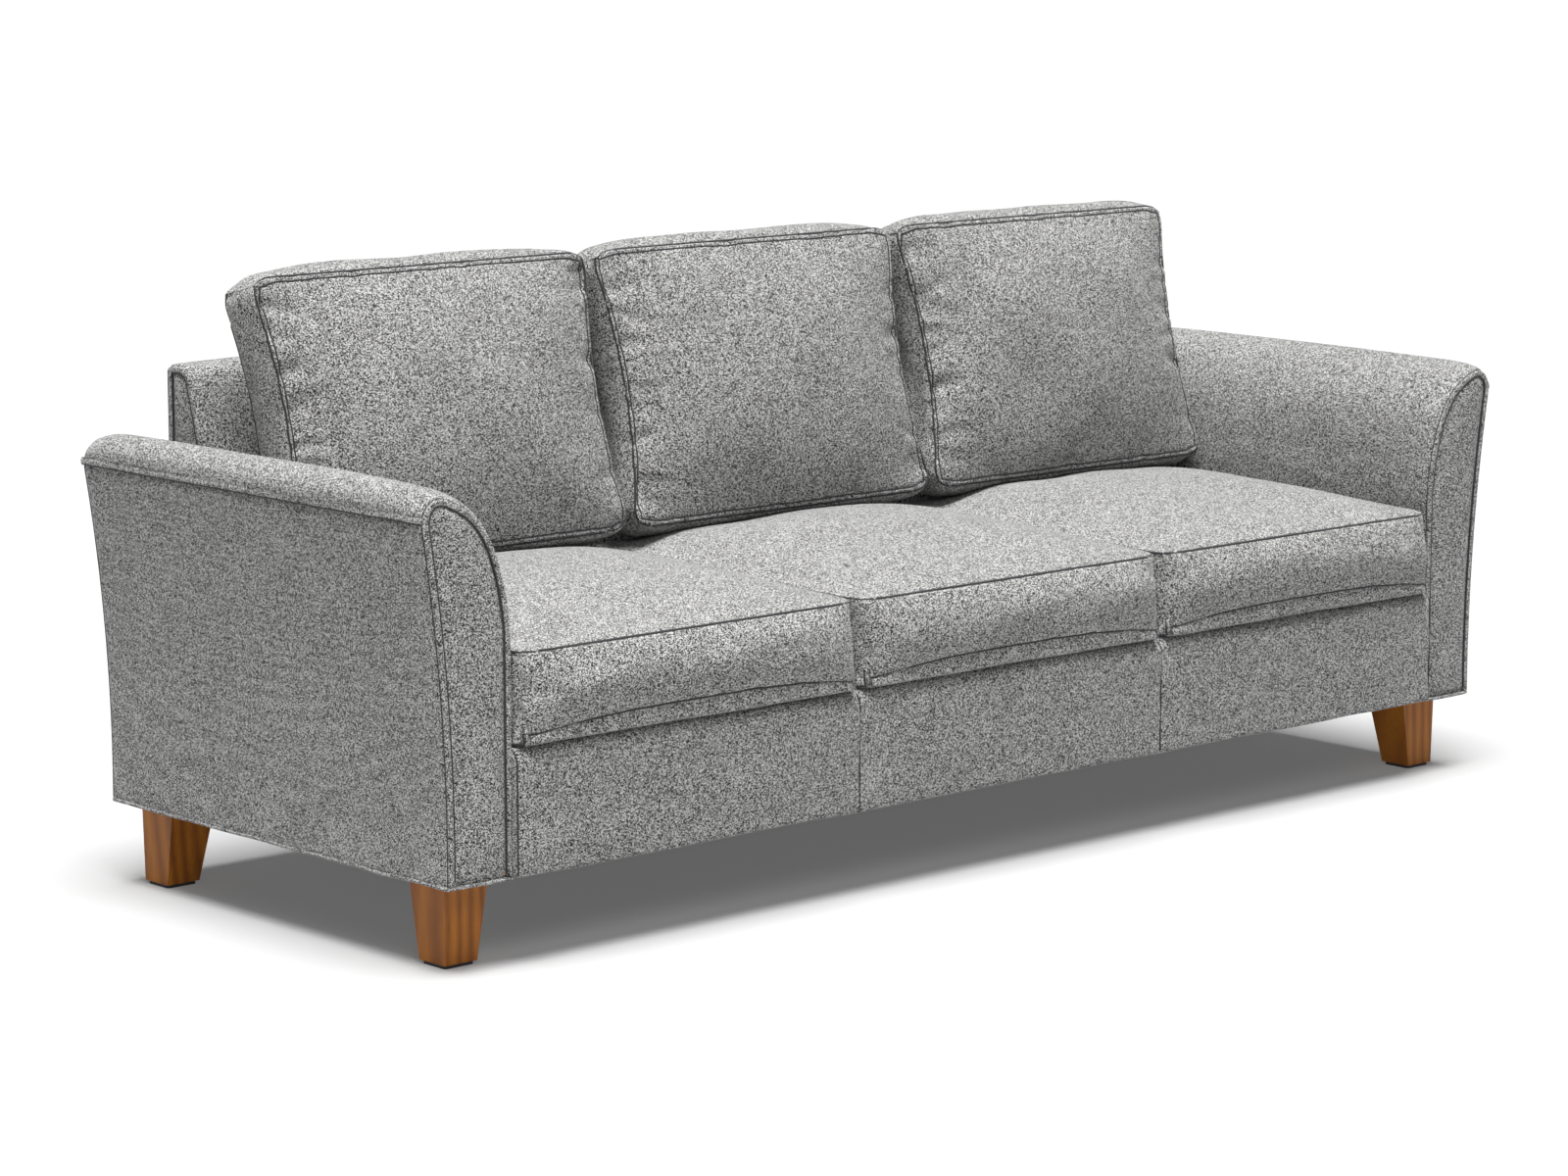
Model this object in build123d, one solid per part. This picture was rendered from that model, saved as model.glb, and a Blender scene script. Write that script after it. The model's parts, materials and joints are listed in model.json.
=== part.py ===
"""Three-seat sofa on four tapered wooden legs.

+X is to the right of someone facing the sofa, -Y is the front, +Z is up.
The origin is on the floor under the middle of the sofa.  Lengths are in millimetres.
"""
from build123d import *

import math
import os

# ---- Driving dimensions ---------------------------------------------------------------------
BODY_FRONT = -375.0          # front plane of the arms
BODY_REAR = 400.0            # outside back
CUSHION_FRONT = -400.0       # most forward bulge of the seat cushions

LEG_HEIGHT = 123.0           # floor to the top face of a leg
LEG_FOOT = 55.0              # square at the floor
LEG_HEAD = 76.0              # square at the top
LEG_SIDE_INSET = 30.0        # foot in from the arm's outer face
LEG_FRONT_INSET = 47.0       # foot in from the arms' front plane
LEG_REAR_INSET = 34.0        # foot in from the outside back
LEG_SPLAY = 2.0              # how far the outer faces lean out at the top

ARM_INNER = 931.0            # inner face, from the middle of the sofa
ARM_FOOT = 1040.0            # outer face at its lower edge
ARM_WAIST = (1047.0, 370.0)  # outer face half way up
ARM_FLARE = (1076.0, 609.0)  # widest line, where the side seam runs
ARM_APEX = (1040.0, 635.5)   # top of the arm
ARM_BROW = (1012.0, 621.0)   # top of the inner slope
ARM_SLOPE = (955.0, 556.0)   # foot of the inner slope
ARM_SHOULDER = 440.0         # the inner face is upright up to here
TOP_RAIL_LOW = 566.0         # underside of the rail under the arm's top
TOP_RAIL_HIGH = 588.0
BOTTOM_BOARD = 22.0          # thickness of the board over the legs

BACK_TOP = 735.0             # top of the fixed back
BACK_THICKNESS = 57.0        # of the fixed back at its top
BACK_LEAN = 15.0             # its front face from upright, degrees
BACK_FOOT = 252.0            # lower edge of its front cover
BACK_ROUND = 26.0            # rounding over its top front edge
WEB_WIDTH = 70.0             # webbing straps behind its foam
WEB_THICKNESS = 2.0

CLOTH = 2.0                  # covering cloth with its backing
PADDING = 12.0               # wadding and foam on the arms and the front rail
BACK_PADDING = 18.0          # foam on the front of the fixed back
BOARD = 25.0                 # rails and posts
PLYWOOD = 18.0               # shaped arm boards
FIBREBOARD = 3.0             # outer arm panels
GAP = 0.5                    # between neighbouring covers of the fixed body
WELT_WIDTH = 9.0             # flat band round each arm's facing
WELT_PROUD = 2.0

DECK_RAKE = 3.0              # the seat falls to the rear, degrees
SEAT_COUNT = 3
CUSHION_GAP = 2.0            # between loose cushions
SEAT_BORDER = 117.0          # seat cushion's front border, seam to seam
SEAT_CROWN = 75.0            # rise of its top over the seams
BACK_CUSHION_LEAN = 14.0
BACK_CUSHION_HEIGHT = 418.0  # along the lean, seam to seam
BACK_CUSHION_BORDER = 76.0   # seam to seam, front to rear
BACK_CUSHION_START = (102.0, 472.0)  # its lower front seam as (y, z)

# ---- Values that follow from them -----------------------------------------------------------
COVER_FOOT = LEG_HEIGHT - 2  # lower edge of the arm covers
FRAME_FOOT = LEG_HEIGHT + 3  # underside of the timber frame, on the leg plates
BASE_TOP = 244.0             # top of the rear and side rails
WRAP = CLOTH + PADDING       # cloth and padding together
ARM_FRAME = ARM_INNER + WRAP
ARM_BOARD_FRONT = BODY_FRONT + WRAP
ARM_BOARD_REAR = BODY_REAR - CLOTH
BACK_WIDTH = ARM_INNER - 2   # half of the fixed back's width

RAIL_FACE = BODY_FRONT - 11  # the front rail stands proud of the arms
RAIL_FRONT = RAIL_FACE + WRAP
RAIL_REAR = RAIL_FRONT + BOARD
RAIL_TOP = 276.0
RAIL_ROUND = 18.0            # rounding over the rail's top front edge
RAIL_LIP = RAIL_REAR + 7     # the rail cover turns over the deck to here
SEAT_RAIL_FRONT = 232.0      # rail that carries the rear ends of the springs
SEAT_RAIL_REAR = SEAT_RAIL_FRONT + BOARD

WIRE = 2.0                   # radius of the spring wire
SPRING_WIDTH = 50.0
SPRING_PITCH = 34.0
SPRINGS_PER_SEAT = 4
SPRING_FRONT = RAIL_FRONT + BOARD / 2
SPRING_REAR = SEAT_RAIL_FRONT + BOARD / 2 - 4
CLIP = 8.0                   # height of a spring clip
CLIP_HALF = 7.0              # half of its width along the rail
CLIP_ROOM = 12.0             # half of the cut-out in the pad over it
DECK_PAD = 10.0
DECK_REAR_LEVEL = 262.0      # height of the deck where it meets the fixed back
CROSS_TOP = 190.0            # top of the rails that run front to rear

SEAT_PITCH = 2 * (ARM_INNER - CUSHION_GAP) / SEAT_COUNT
CUSHION_WIDTH = SEAT_PITCH - CUSHION_GAP
SEAT_CENTRES = [(i - (SEAT_COUNT - 1) / 2) * SEAT_PITCH for i in range(SEAT_COUNT)]
SEAT_NAMES = ["left", "middle", "right"]
RAIL_SEAMS = [-SEAT_PITCH / 2, SEAT_PITCH / 2]

LEG_CENTRE_X = ARM_FOOT - LEG_SIDE_INSET + LEG_SPLAY - LEG_HEAD / 2
LEG_CENTRE_FRONT = BODY_FRONT + LEG_FRONT_INSET - LEG_SPLAY + LEG_HEAD / 2
LEG_CENTRE_REAR = BODY_REAR - LEG_REAR_INSET + LEG_SPLAY - LEG_HEAD / 2
LEG_PLATE = 68.0
LEG_PLATE_THICKNESS = FRAME_FOOT - LEG_HEIGHT
SCREW_REACH = 22.0           # leg plate screws from the leg's axis
BOLT_RADIUS = 4.0
SCREW_RADIUS = 2.4
GLIDE_THICKNESS = 5.0
GLIDE_WIDTH = 50.0
GLIDE_CORNER = 6.0
NAIL_RADIUS = 1.5
NAIL_LENGTH = 16.0
BOLT_BELOW = 40.0            # how far a leg bolt reaches into the leg
BOLT_ABOVE = 20.0            # and above the underside of the frame
RUNNING = 0.1                # radial play of bolts, screws and nails in their holes

SIDES = {"left": -1, "right": 1}
LEGS = {
    "front_left": (-LEG_CENTRE_X, LEG_CENTRE_FRONT),
    "front_right": (LEG_CENTRE_X, LEG_CENTRE_FRONT),
    "rear_left": (-LEG_CENTRE_X, LEG_CENTRE_REAR),
    "rear_right": (LEG_CENTRE_X, LEG_CENTRE_REAR),
}


# ---- Helpers --------------------------------------------------------------------------------
def block(x_low, x_high, y_low, y_high, z_low, z_high):
    """A box between two corners."""
    box = Box(x_high - x_low, y_high - y_low, z_high - z_low, align=Align.MIN)
    return Pos(x_low, y_low, z_low) * box


def along_y(outline, y_low, y_high):
    """Extrude an outline drawn as (x, z)."""
    plane = Plane(origin=(0, y_high, 0), x_dir=(1, 0, 0), z_dir=(0, -1, 0))
    return extrude(plane * outline, amount=y_high - y_low)


def along_x(outline, x_low, x_high):
    """Extrude an outline drawn as (y, z)."""
    plane = Plane(origin=(x_low, 0, 0), x_dir=(0, 1, 0), z_dir=(1, 0, 0))
    return extrude(plane * outline, amount=x_high - x_low)


def span(x_low, x_high, y_low, y_high):
    """A flat rectangle between two corners of an outline's own plane."""
    return Pos(x_low, y_low) * Rectangle(x_high - x_low, y_high - y_low, align=Align.MIN)


def polygon(*points):
    return make_face(Polyline(*points, close=True))


def on_side(shape, side):
    """The right-hand shape, or its mirror image for the left."""
    return shape if side > 0 else mirror(shape, about=Plane.YZ)


def group(shapes):
    return Compound(children=[solid for shape in shapes for solid in shape.solids()])


# ---- Arms -----------------------------------------------------------------------------------
def arm_outline(inset, foot=COVER_FOOT):
    """The right arm's section as (x, z), shrunk by inset and cut off square at its foot."""
    below = foot - 100
    face_up = Line((ARM_INNER, below), (ARM_INNER, ARM_SHOULDER))
    slope = TangentArc(face_up @ 1, ARM_SLOPE, tangent=face_up % 1)
    brow = TangentArc(slope @ 1, ARM_BROW, tangent=slope % 1)
    crest = TangentArc(brow @ 1, ARM_APEX, tangent=brow % 1)
    roll = TangentArc(crest @ 1, ARM_FLARE, tangent=crest % 1)
    side = ThreePointArc(ARM_FLARE, ARM_WAIST, (ARM_FOOT, COVER_FOOT))
    tail = Line((ARM_FOOT, COVER_FOOT), (ARM_FOOT, below))
    sole = Line((ARM_FOOT, below), (ARM_INNER, below))
    whole = make_face([face_up, slope, brow, crest, roll, side, tail, sole])
    if inset:
        whole = offset(whole, amount=-inset, kind=Kind.INTERSECTION)
    return whole & span(ARM_INNER - 50, ARM_FLARE[0] + 50, foot, ARM_APEX[1] + 50)


def arm_boards():
    """Timber of the right arm: shaped front and rear boards joined by three long pieces."""
    inside_front = ARM_BOARD_FRONT + PLYWOOD
    inside_rear = ARM_BOARD_REAR - PLYWOOD
    section = arm_outline(WRAP, FRAME_FOOT)
    beam = along_y(section, inside_front, inside_rear)
    bottom_top = FRAME_FOOT + BOTTOM_BOARD
    wide = (ARM_FRAME - 50, ARM_FLARE[0] + 50)
    top_slice = block(*wide, inside_front, inside_rear, TOP_RAIL_LOW, TOP_RAIL_HIGH)
    bottom_slice = block(*wide, inside_front, inside_rear, FRAME_FOOT, bottom_top)
    bottom = beam & bottom_slice
    for y_centre in (LEG_CENTRE_FRONT, LEG_CENTRE_REAR):
        bottom -= leg_fastener_holes(LEG_CENTRE_X, y_centre)
    return {
        "front_board": along_y(section, ARM_BOARD_FRONT, inside_front),
        "rear_board": along_y(section, inside_rear, ARM_BOARD_REAR),
        "top_rail": beam & top_slice,
        "bottom_board": bottom,
        "side_rail": block(ARM_FRAME, ARM_FRAME + BOARD, inside_front, inside_rear,
                           bottom_top, BASE_TOP),
    }


def outer_half(z_low, z_high):
    """Everything on the arm's outer side between two heights."""
    return span(ARM_BROW[0], ARM_FLARE[0] + 50, z_low, z_high)


def arm_panel():
    """Thin board that closes the outside of the arm."""
    ring = arm_outline(WRAP - FIBREBOARD, FRAME_FOOT) - arm_outline(WRAP, FRAME_FOOT)
    panel = ring & outer_half(FRAME_FOOT, ARM_FLARE[1] - 22)
    return along_y(panel, ARM_BOARD_FRONT, ARM_BOARD_REAR)


def below_deck():
    """Room inside the arm's inner face for the rails, below the level of the deck."""
    under_deck = block(ARM_INNER - 50, ARM_FRAME, BODY_FRONT, BODY_REAR, 0, DECK_REAR_LEVEL)
    return under_deck + block(ARM_INNER - 50, ARM_FRAME, BODY_FRONT, RAIL_REAR, 0, RAIL_TOP)


def arm_padding():
    """Wadding over the top, both sides and the front of the arm's timber."""
    rear = BODY_REAR - CLOTH
    whole = along_y(arm_outline(CLOTH, FRAME_FOOT), BODY_FRONT + CLOTH, rear)
    timber = along_y(arm_outline(WRAP, FRAME_FOOT), ARM_BOARD_FRONT, rear)
    return whole - timber - arm_panel() - below_deck()


def arm_covers():
    """Covering cloth: a front facing, an outer side up to the seam, a wrapped top and inner."""
    ring = arm_outline(0) - arm_outline(CLOTH)
    outer = ring & outer_half(COVER_FOOT, ARM_FLARE[1] - GAP)
    wrapped = ring - outer_half(COVER_FOOT, ARM_FLARE[1])
    front = BODY_FRONT + CLOTH
    rear = BODY_REAR - CLOTH
    return {
        "facing": along_y(arm_outline(0), BODY_FRONT, front),
        "outer_cover": along_y(outer, front, rear),
        "inner_cover": along_y(wrapped, front, rear) - below_deck(),
    }


def arm_welt():
    """Flat band that stands proud round the edge of the facing."""
    ring = arm_outline(1) - arm_outline(1 + WELT_WIDTH, COVER_FOOT + WELT_WIDTH)
    return along_y(ring, BODY_FRONT - WELT_PROUD, BODY_FRONT)


# ---- Fixed back -----------------------------------------------------------------------------
def back_face(z, depth=0.0):
    """y of the fixed back's leaning front face, or of a plane that much deeper, at height z."""
    lean = math.radians(BACK_LEAN)
    top_edge = BODY_REAR - BACK_THICKNESS
    return top_edge - (BACK_TOP - 15 - z) * math.tan(lean) + depth / math.cos(lean)


def back_outline(depth, top_inset, foot):
    """The back's section as (y, z), its front face moved in by depth, with a rounded top."""
    top = BACK_TOP - top_inset
    rear = BODY_REAR - CLOTH
    corners = [(back_face(foot, depth), foot), (rear, foot), (rear, top),
               (back_face(top, depth), top)]
    face = polygon(*corners)
    front_edge = face.vertices().sort_by(Axis.X)[:2].sort_by(Axis.Y)[-1]
    return fillet(front_edge, radius=BACK_ROUND - top_inset)


def back_timber():
    """Posts that stand on the base, the rails between them and the webbing over both."""
    depth = CLOTH + BACK_PADDING + WEB_THICKNESS
    top = BACK_TOP - WRAP
    rail_foot = top - 22
    rear = BODY_REAR - CLOTH
    end = BACK_WIDTH - CLOTH
    posts = []
    centres = [-end + BOARD / 2, *RAIL_SEAMS, end - BOARD / 2]
    shape = polygon((back_face(BASE_TOP, depth), BASE_TOP), (rear, BASE_TOP), (rear, rail_foot),
                    (back_face(rail_foot, depth), rail_foot))
    for centre in centres:
        posts.append(along_x(shape, centre - BOARD / 2, centre + BOARD / 2))
    crest = polygon((back_face(rail_foot, depth), rail_foot), (rear, rail_foot), (rear, top),
                    (back_face(top, depth), top))
    rails = [along_x(crest, -end, end)]
    lower = polygon(*slanted_strip(depth, BOARD, 270, 330))
    strap = polygon(*slanted_strip(depth - WEB_THICKNESS, WEB_THICKNESS, 272, top - 4))
    straps = []
    for left, right in zip(centres, centres[1:]):
        low = left + BOARD / 2
        high = right - BOARD / 2
        rails.append(along_x(lower, low, high))
        for part in (0.2, 0.5, 0.8):
            middle = low + part * (high - low)
            straps.append(along_x(strap, middle - WEB_WIDTH / 2, middle + WEB_WIDTH / 2))
    return {"back_posts": group(posts), "back_rails": group(rails), "back_webbing": group(straps)}


def slanted_strip(depth, thickness, z_low, z_high):
    """Corners of a strip that follows the leaning face at a given depth."""
    return [(back_face(z_low, depth), z_low), (back_face(z_low, depth + thickness), z_low),
            (back_face(z_high, depth + thickness), z_high), (back_face(z_high, depth), z_high)]


def back_softs():
    """Foam on the front and top of the back, and its cloth."""
    end = BACK_WIDTH - CLOTH
    outer = back_outline(0, 0, BACK_FOOT)
    under_cloth = back_outline(CLOTH, CLOTH, BACK_FOOT)
    inner_depth = CLOTH + BACK_PADDING
    top = BACK_TOP - WRAP
    hollow = polygon((back_face(BACK_FOOT, inner_depth), BACK_FOOT), (BODY_REAR, BACK_FOOT),
                     (BODY_REAR, top), (back_face(top, inner_depth), top))
    end_face = along_x(outer, end, BACK_WIDTH)
    return {
        "back_padding": along_x(under_cloth - hollow, -end, end),
        "back_front_cover": along_x(outer - under_cloth, -end, end),
        "back_end_covers": group([end_face, on_side(end_face, -1)]),
    }


def back_rear_cover():
    """One flat panel across the outside back, from arm to arm."""
    right = arm_outline(0)
    left = mirror(right, about=Plane.YZ)
    middle = span(-BACK_WIDTH, BACK_WIDTH, COVER_FOOT, BACK_TOP)
    bridge = span(-ARM_INNER, ARM_INNER, COVER_FOOT, ARM_SHOULDER)
    outline = left + bridge + middle + right
    return along_y(outline, BODY_REAR - CLOTH, BODY_REAR)


# ---- Base -----------------------------------------------------------------------------------
def deck_z(y, above=0.0):
    """Height over the raked plane through the springs' wires."""
    start = RAIL_TOP + 2 * WIRE
    return start - (y - SPRING_FRONT) * math.tan(math.radians(DECK_RAKE)) + above


DECK_TOP = WIRE + 1 + DECK_PAD + CLOTH  # deck cloth's face over the spring plane


def base_timber():
    rear_inside = BODY_REAR - CLOTH - BOARD
    cross = []
    for x in RAIL_SEAMS:
        cross.append(block(x - BOARD / 2, x + BOARD / 2, RAIL_REAR, rear_inside,
                           FRAME_FOOT, CROSS_TOP))
    return {
        "front_rail": block(-ARM_FRAME, ARM_FRAME, RAIL_FRONT, RAIL_REAR, FRAME_FOOT, RAIL_TOP),
        "rear_rail": block(-ARM_FRAME, ARM_FRAME, rear_inside, BODY_REAR - CLOTH,
                           FRAME_FOOT, BASE_TOP),
        "seat_rail": block(-ARM_FRAME, ARM_FRAME, SEAT_RAIL_FRONT, SEAT_RAIL_REAR,
                           CROSS_TOP, BASE_TOP),
        "cross_rails": group(cross),
    }


def spring_places():
    """x of every spring: spread over each seat, clear of the posts and cross rails."""
    step = SEAT_PITCH / SPRINGS_PER_SEAT
    offsets = [(i - (SPRINGS_PER_SEAT - 1) / 2) * step for i in range(SPRINGS_PER_SEAT)]
    return [centre + offset_x for centre in SEAT_CENTRES for offset_x in offsets]


def zigzag_spring():
    """One sinuous spring on x = 0: straight bars across, joined by half-round bends."""
    rake = math.radians(DECK_RAKE)
    length = (SPRING_REAR - SPRING_FRONT) / math.cos(rake)
    bars = int(length // SPRING_PITCH)
    bars += 1 - bars % 2
    pitch = length / bars
    bend = pitch / 2 - 0.01
    reach = SPRING_WIDTH / 2
    corners = [(reach, 0)]
    for i in range(bars + 1):
        edge = -reach if i % 2 == 0 else reach
        corners.append((edge, i * pitch))
        if i < bars:
            corners.append((edge, (i + 1) * pitch))
    path = FilletPolyline(*corners, radius=bend)
    plane = Plane(origin=(0, SPRING_FRONT, deck_z(SPRING_FRONT)), x_dir=(1, 0, 0),
                  z_dir=(0, math.sin(rake), math.cos(rake)))
    wire = plane * path
    section = Plane(origin=wire @ 0, z_dir=wire % 0) * Circle(WIRE)
    return sweep(section, path=wire)


def spring_clips():
    """Folded clips that hold the first and last bar of every spring down on its rail."""
    clips = []
    for y, z in ((SPRING_FRONT, RAIL_TOP), (SPRING_REAR, BASE_TOP)):
        body = block(-CLIP_HALF, CLIP_HALF, y - 8, y + 8, z, z + CLIP)
        channel = Pos(0, y, deck_z(y)) * Rot(0, 90, 0) * Cylinder(WIRE + 0.3, 40)
        slot = block(-8, 8, y - WIRE - 0.3, y + WIRE + 0.3, z - 1, deck_z(y))
        clips.append(body - channel - slot)
    return group([Pos(x, 0, 0) * clip for x in spring_places() for clip in clips])


def deck():
    """Felt pad over the springs, and the lining cloth that the seat cushions rest on."""
    rear = back_face(BACK_FOOT - 2) - 1

    def layer(front, low, high):
        return polygon((front, deck_z(front, low)), (rear, deck_z(rear, low)),
                       (rear, deck_z(rear, high)), (front, deck_z(front, high)))

    pad_low = DECK_TOP - CLOTH - DECK_PAD
    felt = layer(RAIL_FACE + RAIL_ROUND + 1, pad_low, DECK_TOP - CLOTH)
    pad = along_x(felt, -BACK_WIDTH, BACK_WIDTH)
    clips = [block(x - CLIP_ROOM, x + CLIP_ROOM, y - 9, y + 9, z, z + CLIP + GAP)
             for x in spring_places()
             for y, z in ((SPRING_FRONT, RAIL_TOP), (SPRING_REAR, BASE_TOP))]
    lining = layer(RAIL_LIP + GAP, DECK_TOP - CLOTH, DECK_TOP)
    return {"deck_pad": pad - clips, "deck_cover": along_x(lining, -BACK_WIDTH, BACK_WIDTH)}


def rail_outline(inset):
    """Section of the padded front rail as (y, z), rounded over its top front edge."""
    front = RAIL_FACE + inset
    foot = COVER_FOOT + 4
    lip = RAIL_LIP
    face = polygon((front, foot), (lip, foot), (lip, deck_z(lip, DECK_TOP - inset)),
                   (front, deck_z(front, DECK_TOP - inset)))
    edge = face.vertices().sort_by(Axis.X)[:2].sort_by(Axis.Y)[-1]
    return fillet(edge, radius=RAIL_ROUND - inset)


def front_rail_softs():
    shell = rail_outline(0) - rail_outline(CLOTH)
    foam = rail_outline(CLOTH) & span(RAIL_FACE, RAIL_FRONT, FRAME_FOOT, BACK_TOP)
    end = ARM_INNER - CUSHION_GAP
    softs = {"rail_padding": along_x(foam, -end, end)}
    edges = [-end - GAP / 2, *RAIL_SEAMS, end + GAP / 2]
    for name, low, high in zip(SEAT_NAMES, edges, edges[1:]):
        softs[f"rail_cover_{name}"] = along_x(shell, low + GAP / 2, high - GAP / 2)
    return softs


def dust_cover():
    """Thin cloth under the frame, cut out round the legs."""
    edge = ARM_FOOT - CLOTH - 1
    front = RAIL_FACE + CLOTH + 1
    cloth = block(-edge, edge, BODY_FRONT + CLOTH + 1, BODY_REAR - CLOTH - 1,
                  FRAME_FOOT - 1.5, FRAME_FOOT)
    tongue = block(-ARM_INNER + 5, ARM_INNER - 5, front, BODY_FRONT + 10,
                   FRAME_FOOT - 1.5, FRAME_FOOT)
    cloth += tongue
    half = LEG_HEAD / 2 + 1
    for x, y in LEGS.values():
        cloth -= block(x - half, x + half, y - half, y + half, 0, FRAME_FOOT + 1)
    return cloth


# ---- Legs -----------------------------------------------------------------------------------
def leg_fastener_holes(x, y):
    """Bolt hole and screw pilot holes over one leg, for cutting out of the board above it."""
    depth = 60.0
    holes = [Pos(x, y, FRAME_FOOT + depth / 2 - 5) * Cylinder(BOLT_RADIUS + RUNNING, depth)]
    for place in GridLocations(2 * SCREW_REACH, 2 * SCREW_REACH, 2, 2):
        corner = Pos(x, y, FRAME_FOOT + depth / 2 - 5) * place
        holes.append(corner * Cylinder(SCREW_RADIUS + RUNNING, depth))
    return holes


def leg(x, y):
    """Tapered square leg; its two outer faces stay nearly upright, the inner two taper."""
    out_x = math.copysign(1, x)
    out_y = math.copysign(1, y)
    shift = (LEG_HEAD - LEG_FOOT) / 2 - LEG_SPLAY
    foot = Pos(x + out_x * shift, y + out_y * shift, GLIDE_THICKNESS) * Rectangle(LEG_FOOT, LEG_FOOT)
    head = Pos(x, y, LEG_HEIGHT) * Rectangle(LEG_HEAD, LEG_HEAD)
    body = loft([foot.face(), head.face()])
    body -= Pos(x, y, LEG_HEIGHT - 20) * Cylinder(BOLT_RADIUS + RUNNING, 50)
    nail = Cylinder(NAIL_RADIUS + RUNNING, NAIL_LENGTH + 4)
    return body - Pos(*glide_centre(x, y), GLIDE_THICKNESS + 4) * nail


def glide_centre(x, y):
    shift = (LEG_HEAD - LEG_FOOT) / 2 - LEG_SPLAY
    return x + math.copysign(shift, x), y + math.copysign(shift, y)


def leg_glide(x, y):
    """Square plastic pad with its nail."""
    centre = glide_centre(x, y)
    outline = Pos(*centre, 0) * RectangleRounded(GLIDE_WIDTH, GLIDE_WIDTH, GLIDE_CORNER)
    pad = extrude(outline, GLIDE_THICKNESS)
    return pad + Pos(*centre, GLIDE_THICKNESS + 4) * Cylinder(NAIL_RADIUS, NAIL_LENGTH)


def screw(x, y):
    """Countersunk wood screw, its head flush with the underside of the leg plate."""
    head = Pos(x, y, LEG_HEIGHT + LEG_PLATE_THICKNESS / 2) * Cone(
        SCREW_RADIUS + 2, SCREW_RADIUS, LEG_PLATE_THICKNESS)
    return head + Pos(x, y, FRAME_FOOT + 8) * Cylinder(SCREW_RADIUS, 16)


def leg_plate(x, y):
    """Steel plate between the leg and the frame."""
    z = LEG_HEIGHT + LEG_PLATE_THICKNESS / 2
    plate = Pos(x, y, z) * Box(LEG_PLATE, LEG_PLATE, LEG_PLATE_THICKNESS)
    plate -= Pos(x, y, z) * Cylinder(BOLT_RADIUS + RUNNING, LEG_PLATE_THICKNESS)
    for place in GridLocations(2 * SCREW_REACH, 2 * SCREW_REACH, 2, 2):
        sink = Cone(SCREW_RADIUS + 2 + RUNNING, SCREW_RADIUS + RUNNING, LEG_PLATE_THICKNESS)
        plate -= Pos(x, y, z) * place * sink
    return plate


def leg_hardware():
    low = LEG_HEIGHT - BOLT_BELOW
    high = FRAME_FOOT + BOLT_ABOVE
    bolts = [Pos(x, y, (low + high) / 2) * Cylinder(BOLT_RADIUS, high - low)
             for x, y in LEGS.values()]
    screws = []
    for x, y in LEGS.values():
        for place in GridLocations(2 * SCREW_REACH, 2 * SCREW_REACH, 2, 2):
            screws.append(screw(x + place.position.X, y + place.position.Y))
    return {
        "leg_bolts": group(bolts),
        "leg_screws": group(screws),
        "leg_plates": group([leg_plate(x, y) for x, y in LEGS.values()]),
        "leg_glides": group([leg_glide(x, y) for x, y in LEGS.values()]),
    }


# ---- Loose cushions -------------------------------------------------------------------------
def seat_cushion_outline():
    """Seat cushion from the side as (y, z): flat base on the deck, round front, crowned top."""
    play = 1.0
    front = RAIL_FACE - 1
    rear = back_face(DECK_REAR_LEVEL) - 3
    base = DECK_TOP + play
    front_low = (front, deck_z(front, base + 8))
    front_high = (front + 12, deck_z(front, base + 8 + SEAT_BORDER))
    rear_high = (rear, deck_z(rear, base + 6 + SEAT_BORDER))
    middle = (front + rear) / 2
    crown = (middle, deck_z(middle, base + 7 + SEAT_BORDER + SEAT_CROWN))
    nose = (CUSHION_FRONT, deck_z(front, base + 8 + SEAT_BORDER / 2))
    base_front = (front + 22, deck_z(front + 22, base))
    base_rear = (rear, deck_z(rear, base))
    return make_face([
        Line(base_rear, base_front),
        Line(base_front, front_low),
        ThreePointArc(front_low, nose, front_high),
        ThreePointArc(front_high, crown, rear_high),
        Line(rear_high, base_rear),
    ])


def back_cushion_outline():
    """Back cushion from the side as (y, z), leaning back, crowned to the front and rear."""
    lean = math.radians(BACK_CUSHION_LEAN)
    start = Vector(*BACK_CUSHION_START)
    up = Vector(math.sin(lean), math.cos(lean))
    back = Vector(math.cos(lean), -math.sin(lean))
    front_crown = 50.0
    rear_crown = 86.0

    def at(along, across):
        point = start + up * along + back * across
        return (point.X, point.Y)

    height = BACK_CUSHION_HEIGHT
    border = BACK_CUSHION_BORDER
    return make_face([
        ThreePointArc(at(0, 0), at(height / 2, -front_crown), at(height, 0)),
        ThreePointArc(at(height, 0), at(height + 8, border / 2), at(height, border)),
        ThreePointArc(at(height, border), at(height / 2, border + rear_crown), at(0, border)),
        ThreePointArc(at(0, border), at(-20, border / 2), at(0, 0)),
    ])


def cushion(outline, centre):
    """A closed cloth cover and the core that fills it."""
    half = CUSHION_WIDTH / 2
    whole = along_x(outline, centre - half, centre + half)
    inside = offset(outline, amount=-CLOTH, kind=Kind.INTERSECTION)
    core = along_x(inside, centre - half + CLOTH, centre + half - CLOTH)
    return whole - core, core


def cushions():
    pieces = {}
    for kind, outline in (("seat", seat_cushion_outline()), ("back", back_cushion_outline())):
        for name, centre in zip(SEAT_NAMES, SEAT_CENTRES):
            cover, core = cushion(outline, centre)
            pieces[f"{kind}_cushion_{name}_cover"] = cover
            pieces[f"{kind}_cushion_{name}_core"] = core
    return pieces


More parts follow.
